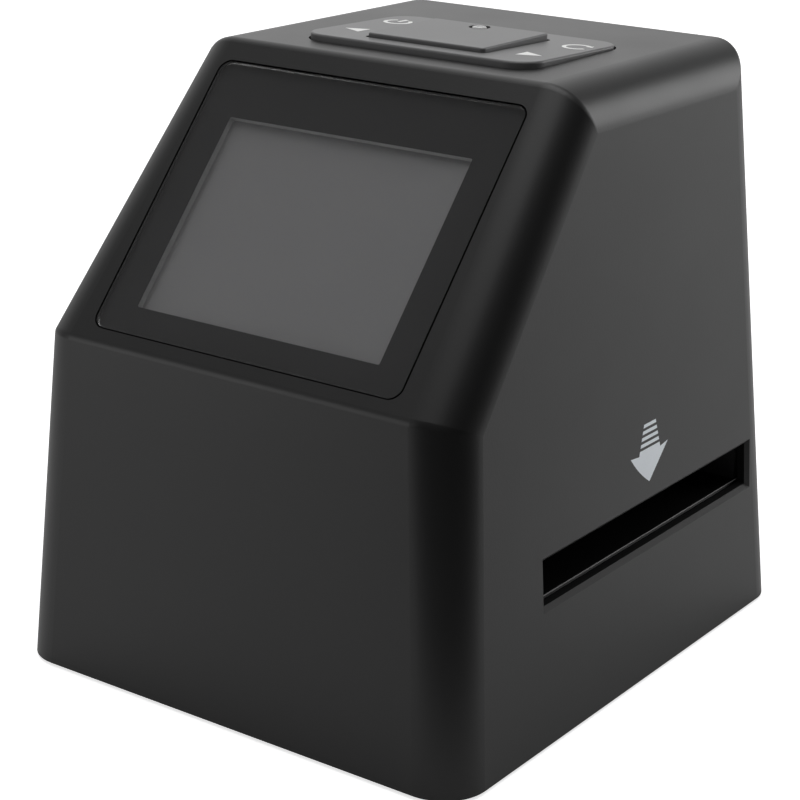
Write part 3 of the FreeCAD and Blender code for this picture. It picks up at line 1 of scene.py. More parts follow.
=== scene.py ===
import bmesh
import bpy
import numpy as np
from mathutils import Matrix, Vector


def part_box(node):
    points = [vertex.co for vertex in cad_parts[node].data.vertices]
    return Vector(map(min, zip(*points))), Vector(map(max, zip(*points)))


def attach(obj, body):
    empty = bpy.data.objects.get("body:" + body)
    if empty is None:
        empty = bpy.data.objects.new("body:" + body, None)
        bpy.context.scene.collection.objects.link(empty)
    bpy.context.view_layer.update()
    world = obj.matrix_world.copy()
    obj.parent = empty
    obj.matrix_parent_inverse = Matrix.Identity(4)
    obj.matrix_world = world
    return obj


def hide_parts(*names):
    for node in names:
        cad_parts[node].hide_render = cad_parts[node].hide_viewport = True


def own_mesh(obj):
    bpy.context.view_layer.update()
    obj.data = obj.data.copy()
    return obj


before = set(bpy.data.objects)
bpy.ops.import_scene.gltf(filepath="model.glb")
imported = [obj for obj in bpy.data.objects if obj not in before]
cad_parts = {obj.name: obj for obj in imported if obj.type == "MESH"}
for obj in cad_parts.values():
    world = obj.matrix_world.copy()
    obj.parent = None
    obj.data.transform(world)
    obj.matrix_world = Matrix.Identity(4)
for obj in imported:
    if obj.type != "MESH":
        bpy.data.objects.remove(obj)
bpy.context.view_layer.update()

MM = 0.001

# Housing and base plate. One injection-moulded shell of black-grey plastic with a fine spark-eroded
# grain, screwed to a base plate of the same plastic. The grain catches the light as a soft satin.

grain_relief = 0.05 * MM
slow_waves = 60.0
sill_height = 26.0 * MM
sill_slant = (0.5, 0.9)
sill_roughness = 0.6

grain = bpy.data.node_groups.new("Moulded Grain", "ShaderNodeTree")
for name, kind, value in (
    ("Colour", "NodeSocketColor", (0.05, 0.05, 0.05, 1)),
    ("Tone Spread", "NodeSocketFloat", 0.06),
    ("Roughness", "NodeSocketFloat", 0.5),
    ("Roughness Spread", "NodeSocketFloat", 0.06),
    ("Grain Per Metre", "NodeSocketFloat", 3000.0),
    ("Grain Depth", "NodeSocketFloat", 0.1),
):
    grain.interface.new_socket(name, in_out="INPUT", socket_type=kind).default_value = value
for name, kind in (
    ("Colour", "NodeSocketColor"),
    ("Roughness", "NodeSocketFloat"),
    ("Normal", "NodeSocketVector"),
):
    grain.interface.new_socket(name, in_out="OUTPUT", socket_type=kind)


def add(tree, kind, **settings):
    """One node of a tree. Settings name its properties, and numbers or words in `put` name its inputs."""
    node = tree.nodes.new(kind)
    inputs = settings.pop("put", {})
    for key, value in settings.items():
        setattr(node, key, value)
    for key, value in inputs.items():
        if hasattr(value, "is_output"):
            tree.links.new(value, node.inputs[key])
        else:
            node.inputs[key].default_value = value
    return node


def maths(tree, operation, *values):
    """Result of one Math node on numbers or sockets."""
    return add(tree, "ShaderNodeMath", operation=operation, put=dict(enumerate(values))).outputs[0]


def ranged(tree, value, source, target=(0.0, 1.0), curve="LINEAR"):
    """A value carried from one range to another."""
    put = {"Value": value, "From Min": source[0], "From Max": source[1]}
    put.update({"To Min": target[0], "To Max": target[1]})
    return add(tree, "ShaderNodeMapRange", interpolation_type=curve, put=put).outputs[0]


def mix_values(tree, share, first, second):
    """The first number where the share is 0, the second where it is 1."""
    return add(tree, "ShaderNodeMix", data_type="FLOAT", put={0: share, 2: first, 3: second}).outputs[0]


def mix_colours(tree, share, first, second):
    """The first colour where the share is 0, the second where it is 1."""
    return add(tree, "ShaderNodeMix", data_type="RGBA", put={0: share, 6: first, 7: second}).outputs[2]


def dot(tree, way, direction):
    """Dot product of a direction from a socket and a fixed one."""
    put = {0: way, 1: tuple(direction)}
    return add(tree, "ShaderNodeVectorMath", operation="DOT_PRODUCT", put=put).outputs["Value"]


def object_place(tree):
    """Place in the object's own coordinates."""
    return add(tree, "ShaderNodeTexCoord").outputs["Object"]


def build_grain(tree):
    """Fine noise gives the height; slow noise moves tone and roughness a little up and down."""
    given = add(tree, "NodeGroupInput").outputs
    place = object_place(tree)
    put = {"Vector": place, "Scale": given["Grain Per Metre"], "Detail": 3.0}
    fine = add(tree, "ShaderNodeTexNoise", put=put).outputs["Fac"]
    put = {"Vector": place, "Scale": slow_waves, "Detail": 4.0}
    slow = add(tree, "ShaderNodeTexNoise", put=put).outputs["Fac"]
    wave = maths(tree, "SUBTRACT", slow, 0.5)
    rough = maths(tree, "ADD", given["Roughness"], maths(tree, "MULTIPLY", wave, given["Roughness Spread"]))
    tone = maths(tree, "ADD", wave, maths(tree, "SUBTRACT", fine, 0.5))
    scale = maths(tree, "MULTIPLY_ADD", tone, given["Tone Spread"], 1.0)
    colour = add(tree, "ShaderNodeVectorMath", operation="SCALE", put={0: given["Colour"], "Scale": scale})
    put = {"Strength": given["Grain Depth"], "Distance": grain_relief, "Height": fine}
    bump = add(tree, "ShaderNodeBump", put=put)
    put = {"Colour": colour.outputs[0], "Roughness": rough, "Normal": bump.outputs[0]}
    add(tree, "NodeGroupOutput", put=put)


build_grain(grain)


def material(name):
    """An empty material of nodes: returns it, its tree and its Principled shader."""
    made = bpy.data.materials.new(name)
    made.use_nodes = True
    return made, made.node_tree, made.node_tree.nodes["Principled BSDF"]


def moulded(name, colour, roughness, per_metre=3000.0, depth=0.1, tone=0.06, shine=0.5, metallic=0.0):
    """Moulded plastic, rubber or ink: the grain group gives its colour, roughness and normal."""
    made, tree, shader = material(name)
    put = {
        "Colour": (*colour, 1),
        "Tone Spread": tone,
        "Roughness": roughness,
        "Grain Per Metre": per_metre,
        "Grain Depth": depth,
    }
    skin = add(tree, "ShaderNodeGroup", node_tree=grain, put=put)
    tree.links.new(skin.outputs["Colour"], shader.inputs["Base Color"])
    tree.links.new(skin.outputs["Roughness"], shader.inputs["Roughness"])
    tree.links.new(skin.outputs["Normal"], shader.inputs["Normal"])
    shader.inputs["Specular IOR Level"].default_value = shine
    shader.inputs["Metallic"].default_value = metallic
    return made


def overlay(made, name, mask, value):
    """Where the mask is 1, an input of a moulded material takes another number or colour."""
    tree = made.node_tree
    socket = tree.nodes["Principled BSDF"].inputs[name]
    mix = mix_values if name == "Roughness" else mix_colours
    tree.links.new(mix(tree, mask, socket.links[0].from_socket, value), socket)


def dress(made, *nodes):
    """Gives a material to CAD nodes."""
    for name in nodes:
        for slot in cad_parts[name].material_slots:
            slot.material = made


def scuff_sill(made):
    """The slot's sill is scuffed rougher by film holders: it lies below a height, and its normal's
    upward part is between two limits."""
    tree = made.node_tree
    where = add(tree, "ShaderNodeTexCoord").outputs
    height = add(tree, "ShaderNodeSeparateXYZ", put={0: where["Object"]}).outputs["Z"]
    upward = add(tree, "ShaderNodeSeparateXYZ", put={0: where["Normal"]}).outputs["Z"]
    slanted = maths(tree, "GREATER_THAN", upward, sill_slant[0])
    slanted = maths(tree, "MULTIPLY", slanted, maths(tree, "LESS_THAN", upward, sill_slant[1]))
    sill = maths(tree, "MULTIPLY", slanted, maths(tree, "LESS_THAN", height, sill_height))
    overlay(made, "Roughness", sill, sill_roughness)


body_plastic = moulded("body_plastic", (0.0062, 0.0062, 0.0064), 0.4, per_metre=2600.0, depth=0.2)
scuff_sill(body_plastic)
dress(body_plastic, "main_housing", "base_plate")

# Insertion arrow. Silver-grey ink, pad-printed on the right side above the slot: a broad head that
# points down at the slot, and a tapering shaft cut by four thin lines.

arrow_tip = (6.1 * MM, 36.6 * MM)
arrow_barbs = ((-0.2 * MM, 42.2 * MM), (12.7 * MM, 42.3 * MM))
arrow_neck = (2.7 * MM, 10.0 * MM, 41.9 * MM)
arrow_top = (4.5 * MM, 8.5 * MM, 47.2 * MM)
arrow_swell = 0.25 * MM
arrow_line = 0.5 * MM
arrow_bars = 4
arrow_shoulder = 0.75
ink_height = 0.015 * MM
same_plane = 0.02 * MM
side_draft = np.radians(4.2)


def flat_face(node, direction, least=0.9999):
    """Plane of a node's flat side that faces a direction: the largest triangle whose unit normal is
    within the limit gives the plane, and the triangles that lie in it give its middle by area."""
    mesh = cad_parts[node].data
    places = np.empty(len(mesh.vertices) * 3)
    mesh.vertices.foreach_get("co", places)
    corners = np.empty(len(mesh.loops), int)
    mesh.loops.foreach_get("vertex_index", corners)
    triangles = places.reshape(-1, 3)[corners.reshape(-1, 3)]
    cross = np.cross(triangles[:, 1] - triangles[:, 0], triangles[:, 2] - triangles[:, 0])
    area = np.linalg.norm(cross, axis=1)
    normals = cross / np.maximum(area, 1e-20)[:, None]
    towards = np.array(direction) / np.linalg.norm(direction)
    facing = area * (normals @ towards > least)
    best = int(np.argmax(facing))
    normal = normals[best]
    away = np.abs((triangles - triangles[best, 0]) @ normal).max(1)
    weight = facing * (away < same_plane)
    middle = (triangles.mean(1) * weight[:, None]).sum(0) / weight.sum()
    return middle, normal


def print_on(name, outlines, plane, axes, ink, body):
    """Thin ink: each closed outline, turned to run counter-clockwise as seen from outside, is moved onto
    the plane along the axis that it lacks, and gets its thickness inwards."""
    middle, normal = plane
    a, b = axes
    c = 3 - a - b
    hand = np.sign(normal[c]) * (1 if (a, b) in ((0, 1), (1, 2)) else -1)
    places, faces, start = [], [], 0
    for outline in outlines:
        u, v = outline.T
        turning = (u * np.roll(v, -1) - v * np.roll(u, -1)).sum()
        ordered = outline if turning * hand > 0 else outline[::-1]
        flat = np.zeros((len(ordered), 3))
        flat[:, [a, b]] = ordered
        flat[:, c] = middle[c] - ((ordered - middle[[a, b]]) @ normal[[a, b]]) / normal[c]
        places.append(flat + normal * ink_height)
        faces.append(list(range(start, start + len(flat))))
        start += len(flat)
    mesh = bpy.data.meshes.new(name)
    mesh.from_pydata(np.concatenate(places).tolist(), [], faces)
    mesh.materials.append(ink)
    piece = bpy.data.objects.new(name, mesh)
    bpy.context.scene.collection.objects.link(piece)
    thick = piece.modifiers.new("ink", "SOLIDIFY")
    thick.thickness = 2 * ink_height
    thick.offset = -1
    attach(piece, body)


def shaft(z):
    """Left and right edge of the arrow's shaft at a height, in a straight line from neck to top."""
    neck, top = np.array(arrow_neck), np.array(arrow_top)
    return (neck + (top - neck) * (z - neck[2]) / (top[2] - neck[2]))[:2]


def arrow_outlines():
    """The head and the shaft's bars. The head's left edge runs from barb to tip and swells outwards by
    a parabola, four times share times the rest."""
    neck_left, neck_right, neck_z = arrow_neck
    top_z = arrow_top[2]
    share = np.linspace(0, 1, 9)[:, None]
    edge = np.array(arrow_barbs[0]) * (1 - share) + np.array(arrow_tip) * share
    edge = edge - arrow_swell * 4 * share * (1 - share)
    shoulder_z = neck_z + (top_z - neck_z) / (arrow_bars + arrow_shoulder) * arrow_shoulder
    left, right = shaft(shoulder_z)
    rest = [arrow_barbs[1], (neck_right, neck_z), (right, shoulder_z), (left, shoulder_z)]
    outlines = [np.concatenate([edge, rest, [(neck_left, neck_z)]])]
    ends = shoulder_z + (top_z - shoulder_z) * np.arange(arrow_bars + 1) / arrow_bars
    for low_z, high_z in zip(ends[:-1] + arrow_line, ends[1:]):
        (low_left, low_right), (high_left, high_right) = shaft(low_z), shaft(high_z)
        bar = [(low_left, low_z), (low_right, low_z), (high_right, high_z), (high_left, high_z)]
        outlines.append(np.array(bar))
    return outlines


silver = (0.88, 0.925, 0.97)
silver_ink = moulded("silver_ink", silver, 0.45, per_metre=9000.0, depth=0.05, tone=0.1, metallic=0.35)
side_plane = flat_face("main_housing", (np.cos(side_draft), 0, np.sin(side_draft)))
print_on("insertion_arrow", arrow_outlines(), side_plane, (1, 2), silver_ink, "case")

# Feet and screws. Soft black pads lie in shallow pockets of the base. Zinc-plated self-tapping screws
# hold the base, the frames and the boards to the posts that carry them.

plated_lines = (0.3, 0.7)
plated_shade = 0.86
pad_rubber = moulded("pad_rubber", (0.022, 0.022, 0.022), 0.75, per_metre=1500.0, depth=0.3, tone=0.15)
dress(pad_rubber, "rubber_feet", "key_ring")


def plated(name, colour, roughness, stretch, spread=0.12):
    """Plated or drawn metal: noise that is stretched along one axis moves the roughness and the tone."""
    made, tree, shader = material(name)
    turned = add(tree, "ShaderNodeMapping", put={"Vector": object_place(tree), "Scale": stretch}).outputs[0]
    lines = add(tree, "ShaderNodeTexNoise", put={"Vector": turned, "Scale": 1.0, "Detail": 5.0}).outputs["Fac"]
    rough = ranged(tree, lines, plated_lines, (roughness - spread, roughness + spread))
    shade = tuple(plated_shade * part for part in colour)
    tree.links.new(rough, shader.inputs["Roughness"])
    tree.links.new(mix_colours(tree, lines, (*shade, 1), (*colour, 1)), shader.inputs["Base Color"])
    shader.inputs["Metallic"].default_value = 1.0
    return made


zinc = plated("zinc_plate", (0.62, 0.63, 0.66), 0.32, (2500.0, 2500.0, 2500.0))
dress(zinc, "base_screws", "lcd_frame_screws", "key_board_screws", "chassis_screws")
dress(zinc, "light_box_screws", "tower_screws", "sensor_screws", "board_screws")

# Display window and the print behind it. A clear acrylic sheet lies flush in the sloping face, and
# black ink, bonded to its back with no air between, leaves the picture open. Grey foam seals the
# display panel behind it.

smear_scale = 90.0
smear_noise = (0.35, 0.75)
sawn_slant = 0.9
ink_bond = 0.04 * MM
doubles = 0.0001 * MM
sharp_angle = np.radians(30)


def clear(name, tint, roughness, index, smear=0.0, face=None):
    """Clear glass or acrylic. Shadow rays pass it, so what lies behind is lit. With a face direction given,
    the sawn edges, whose normals lie across it, are painted black: painted shade for the window's seam."""
    made, tree, shader = material(name)
    shader.inputs["Base Color"].default_value = (*tint, 1)
    shader.inputs["Transmission Weight"].default_value = 1.0
    shader.inputs["IOR"].default_value = index
    put = {"Vector": object_place(tree), "Scale": smear_scale, "Detail": 5.0}
    cloud = add(tree, "ShaderNodeTexNoise", put=put).outputs["Fac"]
    rough = ranged(tree, cloud, smear_noise, (roughness, roughness + smear))
    tree.links.new(rough, shader.inputs["Roughness"])
    if face is not None:
        # Painted shade: edges across the face are coloured black to give a dark seam round the window.
        across = dot(tree, add(tree, "ShaderNodeTexCoord").outputs["Normal"], face)
        edge = maths(tree, "LESS_THAN", maths(tree, "ABSOLUTE", across), sawn_slant)
        tree.links.new(mix_colours(tree, edge, (*tint, 1), (0, 0, 0, 1)), shader.inputs["Base Color"])
    path = add(tree, "ShaderNodeLightPath").outputs["Is Shadow Ray"]
    through = add(tree, "ShaderNodeBsdfTransparent", put={"Color": (*tint, 1)}).outputs[0]
    mixed = add(tree, "ShaderNodeMixShader", put={0: path, 1: shader.outputs[0], 2: through}).outputs[0]
    tree.links.new(mixed, tree.nodes["Material Output"].inputs["Surface"])
    return made


def stand_in(name, node, shift, finish):
    """Copy of a CAD node's mesh on the case, with its doubles merged, moved by a shift. It takes the
    node's place."""
    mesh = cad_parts[node].data.copy()
    shape = bmesh.new()
    shape.from_mesh(mesh)
    bmesh.ops.remove_doubles(shape, verts=shape.verts, dist=doubles)
    bmesh.ops.translate(shape, verts=shape.verts, vec=shift)
    shape.to_mesh(mesh)
    shape.free()
    if "custom_normal" in mesh.attributes:
        mesh.attributes.remove(mesh.attributes["custom_normal"])
    mesh.shade_smooth()
    mesh.set_sharp_from_angle(angle=sharp_angle)
    mesh.materials.clear()
    mesh.materials.append(finish)
    piece = bpy.data.objects.new(name, mesh)
    bpy.context.scene.collection.objects.link(piece)
    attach(piece, "case")
    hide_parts(node)
    return piece


slope_normal = flat_face("screen_window", (0, -0.7546, 0.6562), 0.999)[1]
dress(clear("window_acrylic", (0.97, 0.97, 0.97), 0.03, 1.49, 0.03, slope_normal), "screen_window")
dress(clear("coated_glass", (0.86, 0.93, 0.96), 0.01, 1.52), "lens_elements", "infrared_filter")

black = (0.023, 0.023, 0.0235)
black_ink = moulded("black_ink", black, 0.5, per_metre=8000.0, depth=0.0, tone=0.1, shine=0.05)
stand_in("bonded_print", "window_print", Vector(slope_normal) * ink_bond, black_ink)
foam = moulded("grey_foam", (0.22, 0.22, 0.22), 0.9, per_metre=2200.0, depth=0.9, tone=0.4)
dress(foam, "screen_gasket")

# Display panel. Glass over a plated tray: the switched-off picture area is an even dark grey with a
# fine grid of picture points, inside a slightly darker border.

picture_half = (24.48 * MM, 18.36 * MM)
picture_grey = (0.116, 0.116, 0.118)
border_grey = (0.095, 0.095, 0.097)
point_pitch = 0.153 * MM
point_tone = 0.94


def panel_material():
    """The slope is turned level, and the distances from the picture's middle, across and up the slope,
    are compared with half its sides. Cells of the points' pitch darken the grey between them."""
    made, tree, shader = material("switched_off_display")
    low, high = (np.array(corner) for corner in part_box("screen_gasket"))
    tilt = float(np.arctan2(-slope_normal[1], slope_normal[2]))
    picture = Matrix.Rotation(-tilt, 3, "X") @ Vector((low + high) / 2)
    put = {"Vector": object_place(tree), "Rotation": (-tilt, 0, 0)}
    level = add(tree, "ShaderNodeMapping", vector_type="POINT", put=put).outputs[0]
    axes = add(tree, "ShaderNodeSeparateXYZ", put={0: level}).outputs
    near = []
    for place, middle, half in zip((axes[0], axes[1]), picture[:2], picture_half):
        away = maths(tree, "ABSOLUTE", maths(tree, "SUBTRACT", place, middle))
        near.append(maths(tree, "LESS_THAN", away, half))
    inside = maths(tree, "MULTIPLY", *near)
    cells = add(tree, "ShaderNodeTexBrick", put={"Vector": level, "Scale": 1.0 / point_pitch}).outputs["Fac"]
    fine = ranged(tree, cells, (0.0, 1.0), (1.0, point_tone))
    put = {0: picture_grey, "Scale": fine}
    grey = add(tree, "ShaderNodeVectorMath", operation="SCALE", put=put).outputs[0]
    tree.links.new(mix_colours(tree, inside, (*border_grey, 1), grey), shader.inputs["Base Color"])
    shader.inputs["Roughness"].default_value = 0.35
    return made


dress(panel_material(), "lcd_panel")

# Film channel and camera tower. Black moulded plastic with little gloss carries the display, the film
# and the lens. A pale line is painted along the top of the bed's two lead-in edges: a painted highlight.

highlight_line_width = 0.12 * MM
painted_highlight_grey = (0.3, 0.3, 0.3)
lead_in = 0.36 * MM


def bed_plastic():
    """The painted highlight line is where the surface is within its width of the bed's top and within the
    lead-in of its ends."""
    made = moulded("bed_plastic", (0.004, 0.004, 0.0042), 0.5, per_metre=2600.0, depth=0.2, shine=0.1)
    tree = made.node_tree
    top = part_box("film_bed")[1]
    axes = add(tree, "ShaderNodeSeparateXYZ", put={0: object_place(tree)}).outputs
    end = maths(tree, "GREATER_THAN", maths(tree, "ABSOLUTE", axes["X"]), top.x - lead_in)
    high = maths(tree, "GREATER_THAN", axes["Z"], top.z - highlight_line_width)
    # Painted highlight: pale grey painted where the lead-in edges catch the light.
    overlay(made, "Base Color", maths(tree, "MULTIPLY", end, high), (*painted_highlight_grey, 1))
    return made


chassis_plastic = moulded("chassis_plastic", (0.006, 0.006, 0.0065), 0.45, per_metre=2600.0, depth=0.2)
dress(chassis_plastic, "lcd_frame", "film_roof", "camera_tower", "lens_holder", "catch_plug")
dress(moulded("rail_plastic", (0.03, 0.03, 0.031), 0.35, per_metre=2600.0, depth=0.2), "film_rails")
dress(bed_plastic(), "film_bed")

# Keys. The rocking plate and the square centre key are moulded in the housing's plastic with a finer,
# paler satin, and a milky rod in the key shows the status light. White signs are pad-printed on the
# plate's four corners.

rod_grey = (0.1, 0.1, 0.1)
rod_highlight_grey = (0.8, 0.8, 0.79)
rod_highlight_shift = (-0.3 * MM, 0.45 * MM)
rod_reach = 1.3 * MM
sign_stroke = 0.75 * MM
left_sign = (-19.7 * MM, 3.2 * MM)
right_sign = (21.9 * MM, 2.4 * MM)
triangle_length = 4.1 * MM
triangle_width = 3.8 * MM
power_sign = (-17.6 * MM, 16.3 * MM)
power_arc = (125, 415)
power_tick = (0.1, 1.3)
return_sign = (20.9 * MM, 15.4 * MM)
return_arc = (52, 330)
return_head = 0.8 * MM
head_angle = 50
head_length = 1.4
ring_radius = 2.3 * MM


def rod_acrylic():
    """Milky acrylic: what lies farther than the reach from a point beside the rod's middle is painted
    pale, a painted highlight on the rod's dome."""
    made = moulded("milky_acrylic", rod_grey, 0.25, per_metre=1500.0, depth=0.02, tone=0.1)
    tree = made.node_tree
    low, high = (np.array(corner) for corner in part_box("status_light_rod"))
    point = (low + high) / 2 * (1, 1, 0) + (*rod_highlight_shift, 0)
    put = {0: object_place(tree), 1: (1, 1, 0)}
    flat = add(tree, "ShaderNodeVectorMath", operation="MULTIPLY", put=put).outputs[0]
    put = {0: flat, 1: tuple(point)}
    away = add(tree, "ShaderNodeVectorMath", operation="DISTANCE", put=put).outputs["Value"]
    # Painted highlight: the pale crescent stands in for light caught by the rod's dome.
    overlay(made, "Base Color", maths(tree, "GREATER_THAN", away, rod_reach), (*rod_highlight_grey, 1))
    return made


def ring_arc(centre, start, end, steps=40):
    """Outline of an open ring: out along the outer arc and back along the inner one, angles in degrees."""
    turn = np.radians(np.linspace(start, end, steps))
    way = np.stack([np.cos(turn), np.sin(turn)], 1)
    outer = way * (ring_radius + sign_stroke / 2)
    inner = way[::-1] * (ring_radius - sign_stroke / 2)
    return np.concatenate([outer, inner]) + centre


def triangle(tip, side):
    """Outline of a triangle whose tip points to the left (-1) or the right (1)."""
    x = -side * triangle_length
    return np.array([(x, -triangle_width / 2), (0, 0), (x, triangle_width / 2)]) + tip


def arrow_head(centre, angle, size):
    """Outline of a small head on a ring's end, pointing clockwise along the ring."""
    at = np.radians(angle)
    out = np.array([np.cos(at), np.sin(at)])
    along = np.array([out[1], -out[0]])
    middle = np.array(centre) + out * ring_radius
    return np.array([middle + out * size, middle + along * head_length * size, middle - out * size])


def key_outlines():
    """Two triangles, an open ring with an upright tick, and an open ring with a head."""
    low, high = power_tick
    tick = np.array([(-0.5, low), (0.5, low), (0.5, high), (-0.5, high)]) * (sign_stroke, ring_radius)
    return [
        triangle(left_sign, -1),
        triangle(right_sign, 1),
        ring_arc(power_sign, *power_arc),
        tick + power_sign,
        ring_arc(return_sign, *return_arc),
        arrow_head(return_sign, head_angle, return_head),
    ]


key_plastic = moulded("key_plastic", (0.132, 0.132, 0.134), 0.42, per_metre=3500.0, depth=0.15)
dress(key_plastic, "key_plate", "ok_key")
dress(rod_acrylic(), "status_light_rod")
white_ink = moulded("white_ink", (0.88, 0.88, 0.87), 0.45, per_metre=9000.0, depth=0.05, tone=0.1)
key_plane = flat_face("key_plate", (0, 0.0223, 0.99975), 0.99995)
print_on("key_signs", key_outlines(), key_plane, (0, 1), white_ink, "key_plate")

# Electronics. Green boards carry switches, lamps, chips, cans, plated sockets and ivory connectors,
# joined by flat amber cables.

lanes_per_metre = 260.0
lane_gap = 0.09
lane_relief = 0.03 * MM


def board_mask(name, colour, copper):
    """Solder mask: copper lanes under it, from brick cells, raise the tone and the surface a little."""
    made, tree, shader = material(name)
    put = {"Vector": object_place(tree), "Scale": lanes_per_metre, "Mortar Size": lane_gap}
    lanes = add(tree, "ShaderNodeTexBrick", offset=0.37, put=put).outputs["Fac"]
    tree.links.new(mix_colours(tree, lanes, (*colour, 1), (*copper, 1)), shader.inputs["Base Color"])
    bump = add(tree, "ShaderNodeBump", put={"Strength": 0.3, "Distance": lane_relief, "Height": lanes})
    tree.links.new(bump.outputs[0], shader.inputs["Normal"])
    shader.inputs["Roughness"].default_value = 0.3
    return made


mask = board_mask("board_mask", (0.02, 0.13, 0.05), (0.05, 0.24, 0.09))
dress(mask, "main_board", "key_board", "sensor_board", "lamp_board")
amber = moulded("amber_film", (0.55, 0.27, 0.06), 0.3, 1500.0, 0.1, tone=0.3)
dress(amber, "lcd_ribbon", "sensor_ribbon", "key_ribbon")
dress(moulded("chip_epoxy", (0.02, 0.02, 0.022), 0.6, 5000.0, 0.3), "board_chips", "image_sensor")
dress(moulded("switch_nylon", (0.045, 0.045, 0.047), 0.5, 4000.0, 0.2), "key_switches", "ok_plunger")
dress(moulded("connector_nylon", (0.62, 0.58, 0.47), 0.5, 4000.0, 0.2), "ribbon_connectors")
dress(moulded("lamp_resin", (0.8, 0.77, 0.55), 0.3, 5000.0, 0.1), "backlight_lamps", "status_lamp")
dress(moulded("tray_white", (0.78, 0.78, 0.76), 0.5, 2600.0, 0.2), "light_box")
dress(moulded("opal_sheet", (0.82, 0.82, 0.82), 0.35, 2600.0, 0.1), "diffuser")
dress(plated("black_anodised", (0.03, 0.03, 0.032), 0.35, (300.0, 300.0, 6000.0)), "lens_barrel")
dress(plated("tin_plate", (0.7, 0.7, 0.7), 0.28, (3000.0, 400.0, 3000.0)), "card_socket", "usb_socket")
dress(plated("can_aluminium", (0.8, 0.8, 0.81), 0.3, (2000.0, 2000.0, 200.0)), "board_capacitors")

# Film catch. A bright steel ball, pressed down by a coil of steel wire from a plug in the film roof.

bright_steel = plated("bright_steel", (0.7, 0.7, 0.72), 0.18, (4000.0, 4000.0, 4000.0))
dress(bright_steel, "catch_ball")
wire = stand_in("coiled_wire", "catch_spring", Vector((0, 0, 0)), bright_steel)
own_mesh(wire)

# Studio. The object stands on white paper in a white room that is bright low behind the object and dim
# on the camera's side, with a large soft lamp overhead and two small ones, at the back and low in front.

camera_place = (213.755 * MM, -309.314 * MM, 172.44 * MM)
camera_yaw = 35.14
camera_pitch = 18.95
camera_roll = 1.17
focal_pixels = 2195.65
image_side = 800
sensor_side = 36.0
floor_half = 3.0
floor_white = 0.88
floor_dark = 0.1
floor_glow = 0.72
paper_cloud = 0.02
dark_way = (0.8, -0.6, 0.0)
dark_reach = (0.07, 0.15)
horizon = (-0.03, 0.03)
lamp_target = (0, 0, 0.05)
lobes = (
    ((-0.575, 0.818, 0.05), 4.0, 1.1),
    ((0.0, 0.0, 1.0), 3.0, 0.27),
    ((-0.95, 0.0, 0.3), 8.0, 0.4),
    ((0.56, -0.78, 0.28), 4.0, 0.12),
    ((-0.55, 0.37, 0.73), 10.0, 0.6),
    ((-0.55, -0.67, 0.41), 16.0, 0.4),
)

lens = bpy.data.cameras.new("camera")
lens.sensor_width = sensor_side
lens.lens = focal_pixels / image_side * sensor_side
lens.clip_start = 0.01
camera = bpy.data.objects.new("camera", lens)
turn = Matrix.Rotation(np.radians(camera_yaw), 4, "Z")
tip = Matrix.Rotation(np.radians(90 - camera_pitch), 4, "X")
roll = Matrix.Rotation(np.radians(camera_roll), 4, "Z")
camera.matrix_world = Matrix.Translation(camera_place) @ turn @ tip @ roll
bpy.context.scene.collection.objects.link(camera)
bpy.context.scene.camera = camera
bpy.context.scene.view_settings.view_transform = "Standard"


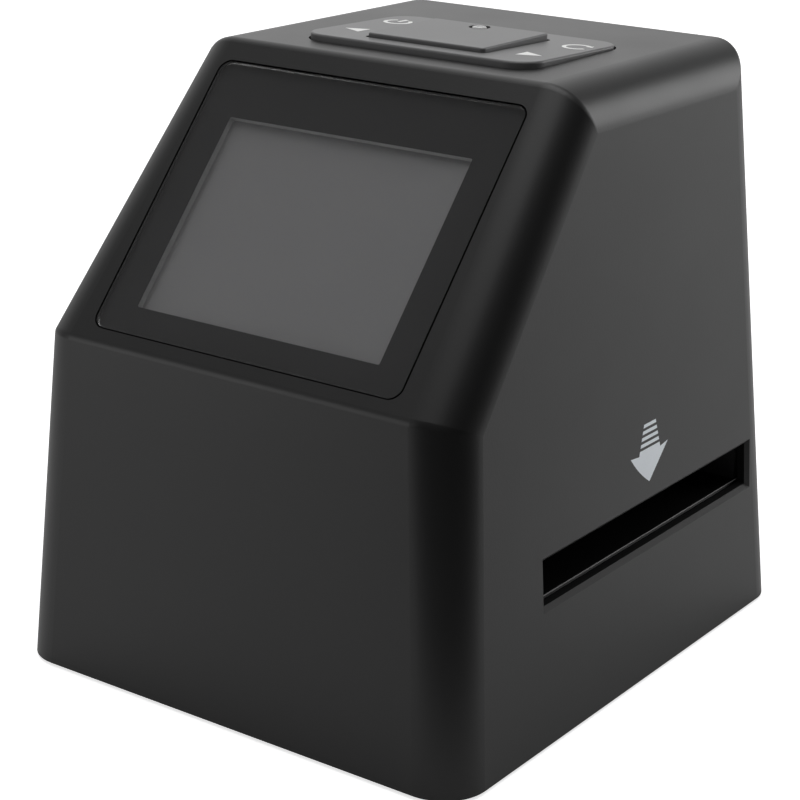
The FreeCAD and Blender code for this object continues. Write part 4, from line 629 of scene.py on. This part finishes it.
def studio_floor():
    """White paper with the object's soft shadow, white to the camera. The place along one way, towards
    the camera's side, fades the paper into a dark table, which the camera too sees as white."""
    half = floor_half
    mesh = bpy.data.meshes.new("studio_floor")
    corners = [(-half, -half, 0), (half, -half, 0), (half, half, 0), (-half, half, 0)]
    mesh.from_pydata(corners, [], [(0, 1, 2, 3)])
    made, tree, shader = material("studio_floor")
    place = object_place(tree)
    fade = ranged(tree, dot(tree, place, dark_way), dark_reach, curve="SMOOTHSTEP")
    cloud = add(tree, "ShaderNodeTexNoise", put={"Vector": place, "Scale": 3.0}).outputs["Fac"]
    white = ranged(tree, cloud, (0.0, 1.0), (floor_white - paper_cloud, floor_white + paper_cloud))
    tree.links.new(mix_values(tree, fade, white, floor_dark), shader.inputs["Base Color"])
    shader.inputs["Roughness"].default_value = 0.9
    path = add(tree, "ShaderNodeLightPath").outputs
    seen = maths(tree, "MAXIMUM", path["Is Camera Ray"], path["Is Transmission Ray"])
    glow = maths(tree, "MULTIPLY", seen, mix_values(tree, fade, floor_glow, 1.0))
    light = add(tree, "ShaderNodeEmission", put={"Strength": glow}).outputs[0]
    both = add(tree, "ShaderNodeAddShader", put={0: shader.outputs[0], 1: light}).outputs[0]
    tree.links.new(both, tree.nodes["Material Output"].inputs["Surface"])
    mesh.materials.append(made)
    floor = bpy.data.objects.new("studio_floor", mesh)
    bpy.context.scene.collection.objects.link(floor)


def studio_world():
    """White to the camera. Other rays meet soft lobes, each a strength times a power of the cosine to its
    middle, that fade out at the horizon."""
    world = bpy.data.worlds.new("studio_world")
    world.use_nodes = True
    tree = world.node_tree
    way = add(tree, "ShaderNodeTexCoord").outputs["Generated"]
    level = 0.0
    for middle, power, strength in lobes:
        cosine = dot(tree, way, Vector(middle).normalized())
        lobe = maths(tree, "POWER", maths(tree, "MAXIMUM", cosine, 0.0), power)
        level = maths(tree, "MULTIPLY_ADD", lobe, strength, level)
    height = add(tree, "ShaderNodeSeparateXYZ", put={0: way}).outputs["Z"]
    level = maths(tree, "MULTIPLY", level, ranged(tree, height, horizon, curve="SMOOTHSTEP"))
    seen = add(tree, "ShaderNodeLightPath").outputs["Is Camera Ray"]
    tree.nodes["Background"].inputs["Color"].default_value = (1, 1, 1, 1)
    tree.links.new(mix_values(tree, seen, level, 1.0), tree.nodes["Background"].inputs["Strength"])
    bpy.context.scene.world = world


def softbox(name, place, size, power):
    """Square soft lamp that looks at the middle of the object."""
    light = bpy.data.lights.new(name, "AREA")
    light.size = size
    light.energy = power
    lamp = bpy.data.objects.new(name, light)
    lamp.location = place
    lamp.rotation_euler = (Vector(lamp_target) - Vector(place)).to_track_quat("-Z", "Y").to_euler()
    bpy.context.scene.collection.objects.link(lamp)


studio_floor()
studio_world()
softbox("overhead_softbox", (0, 0, 1.2), 1.0, 6.5)
softbox("back_softbox", (0.35, 0.6, 0.25), 0.35, 1.3)
softbox("low_softbox", (-0.3, -0.45, 0.1), 0.2, 0.24)
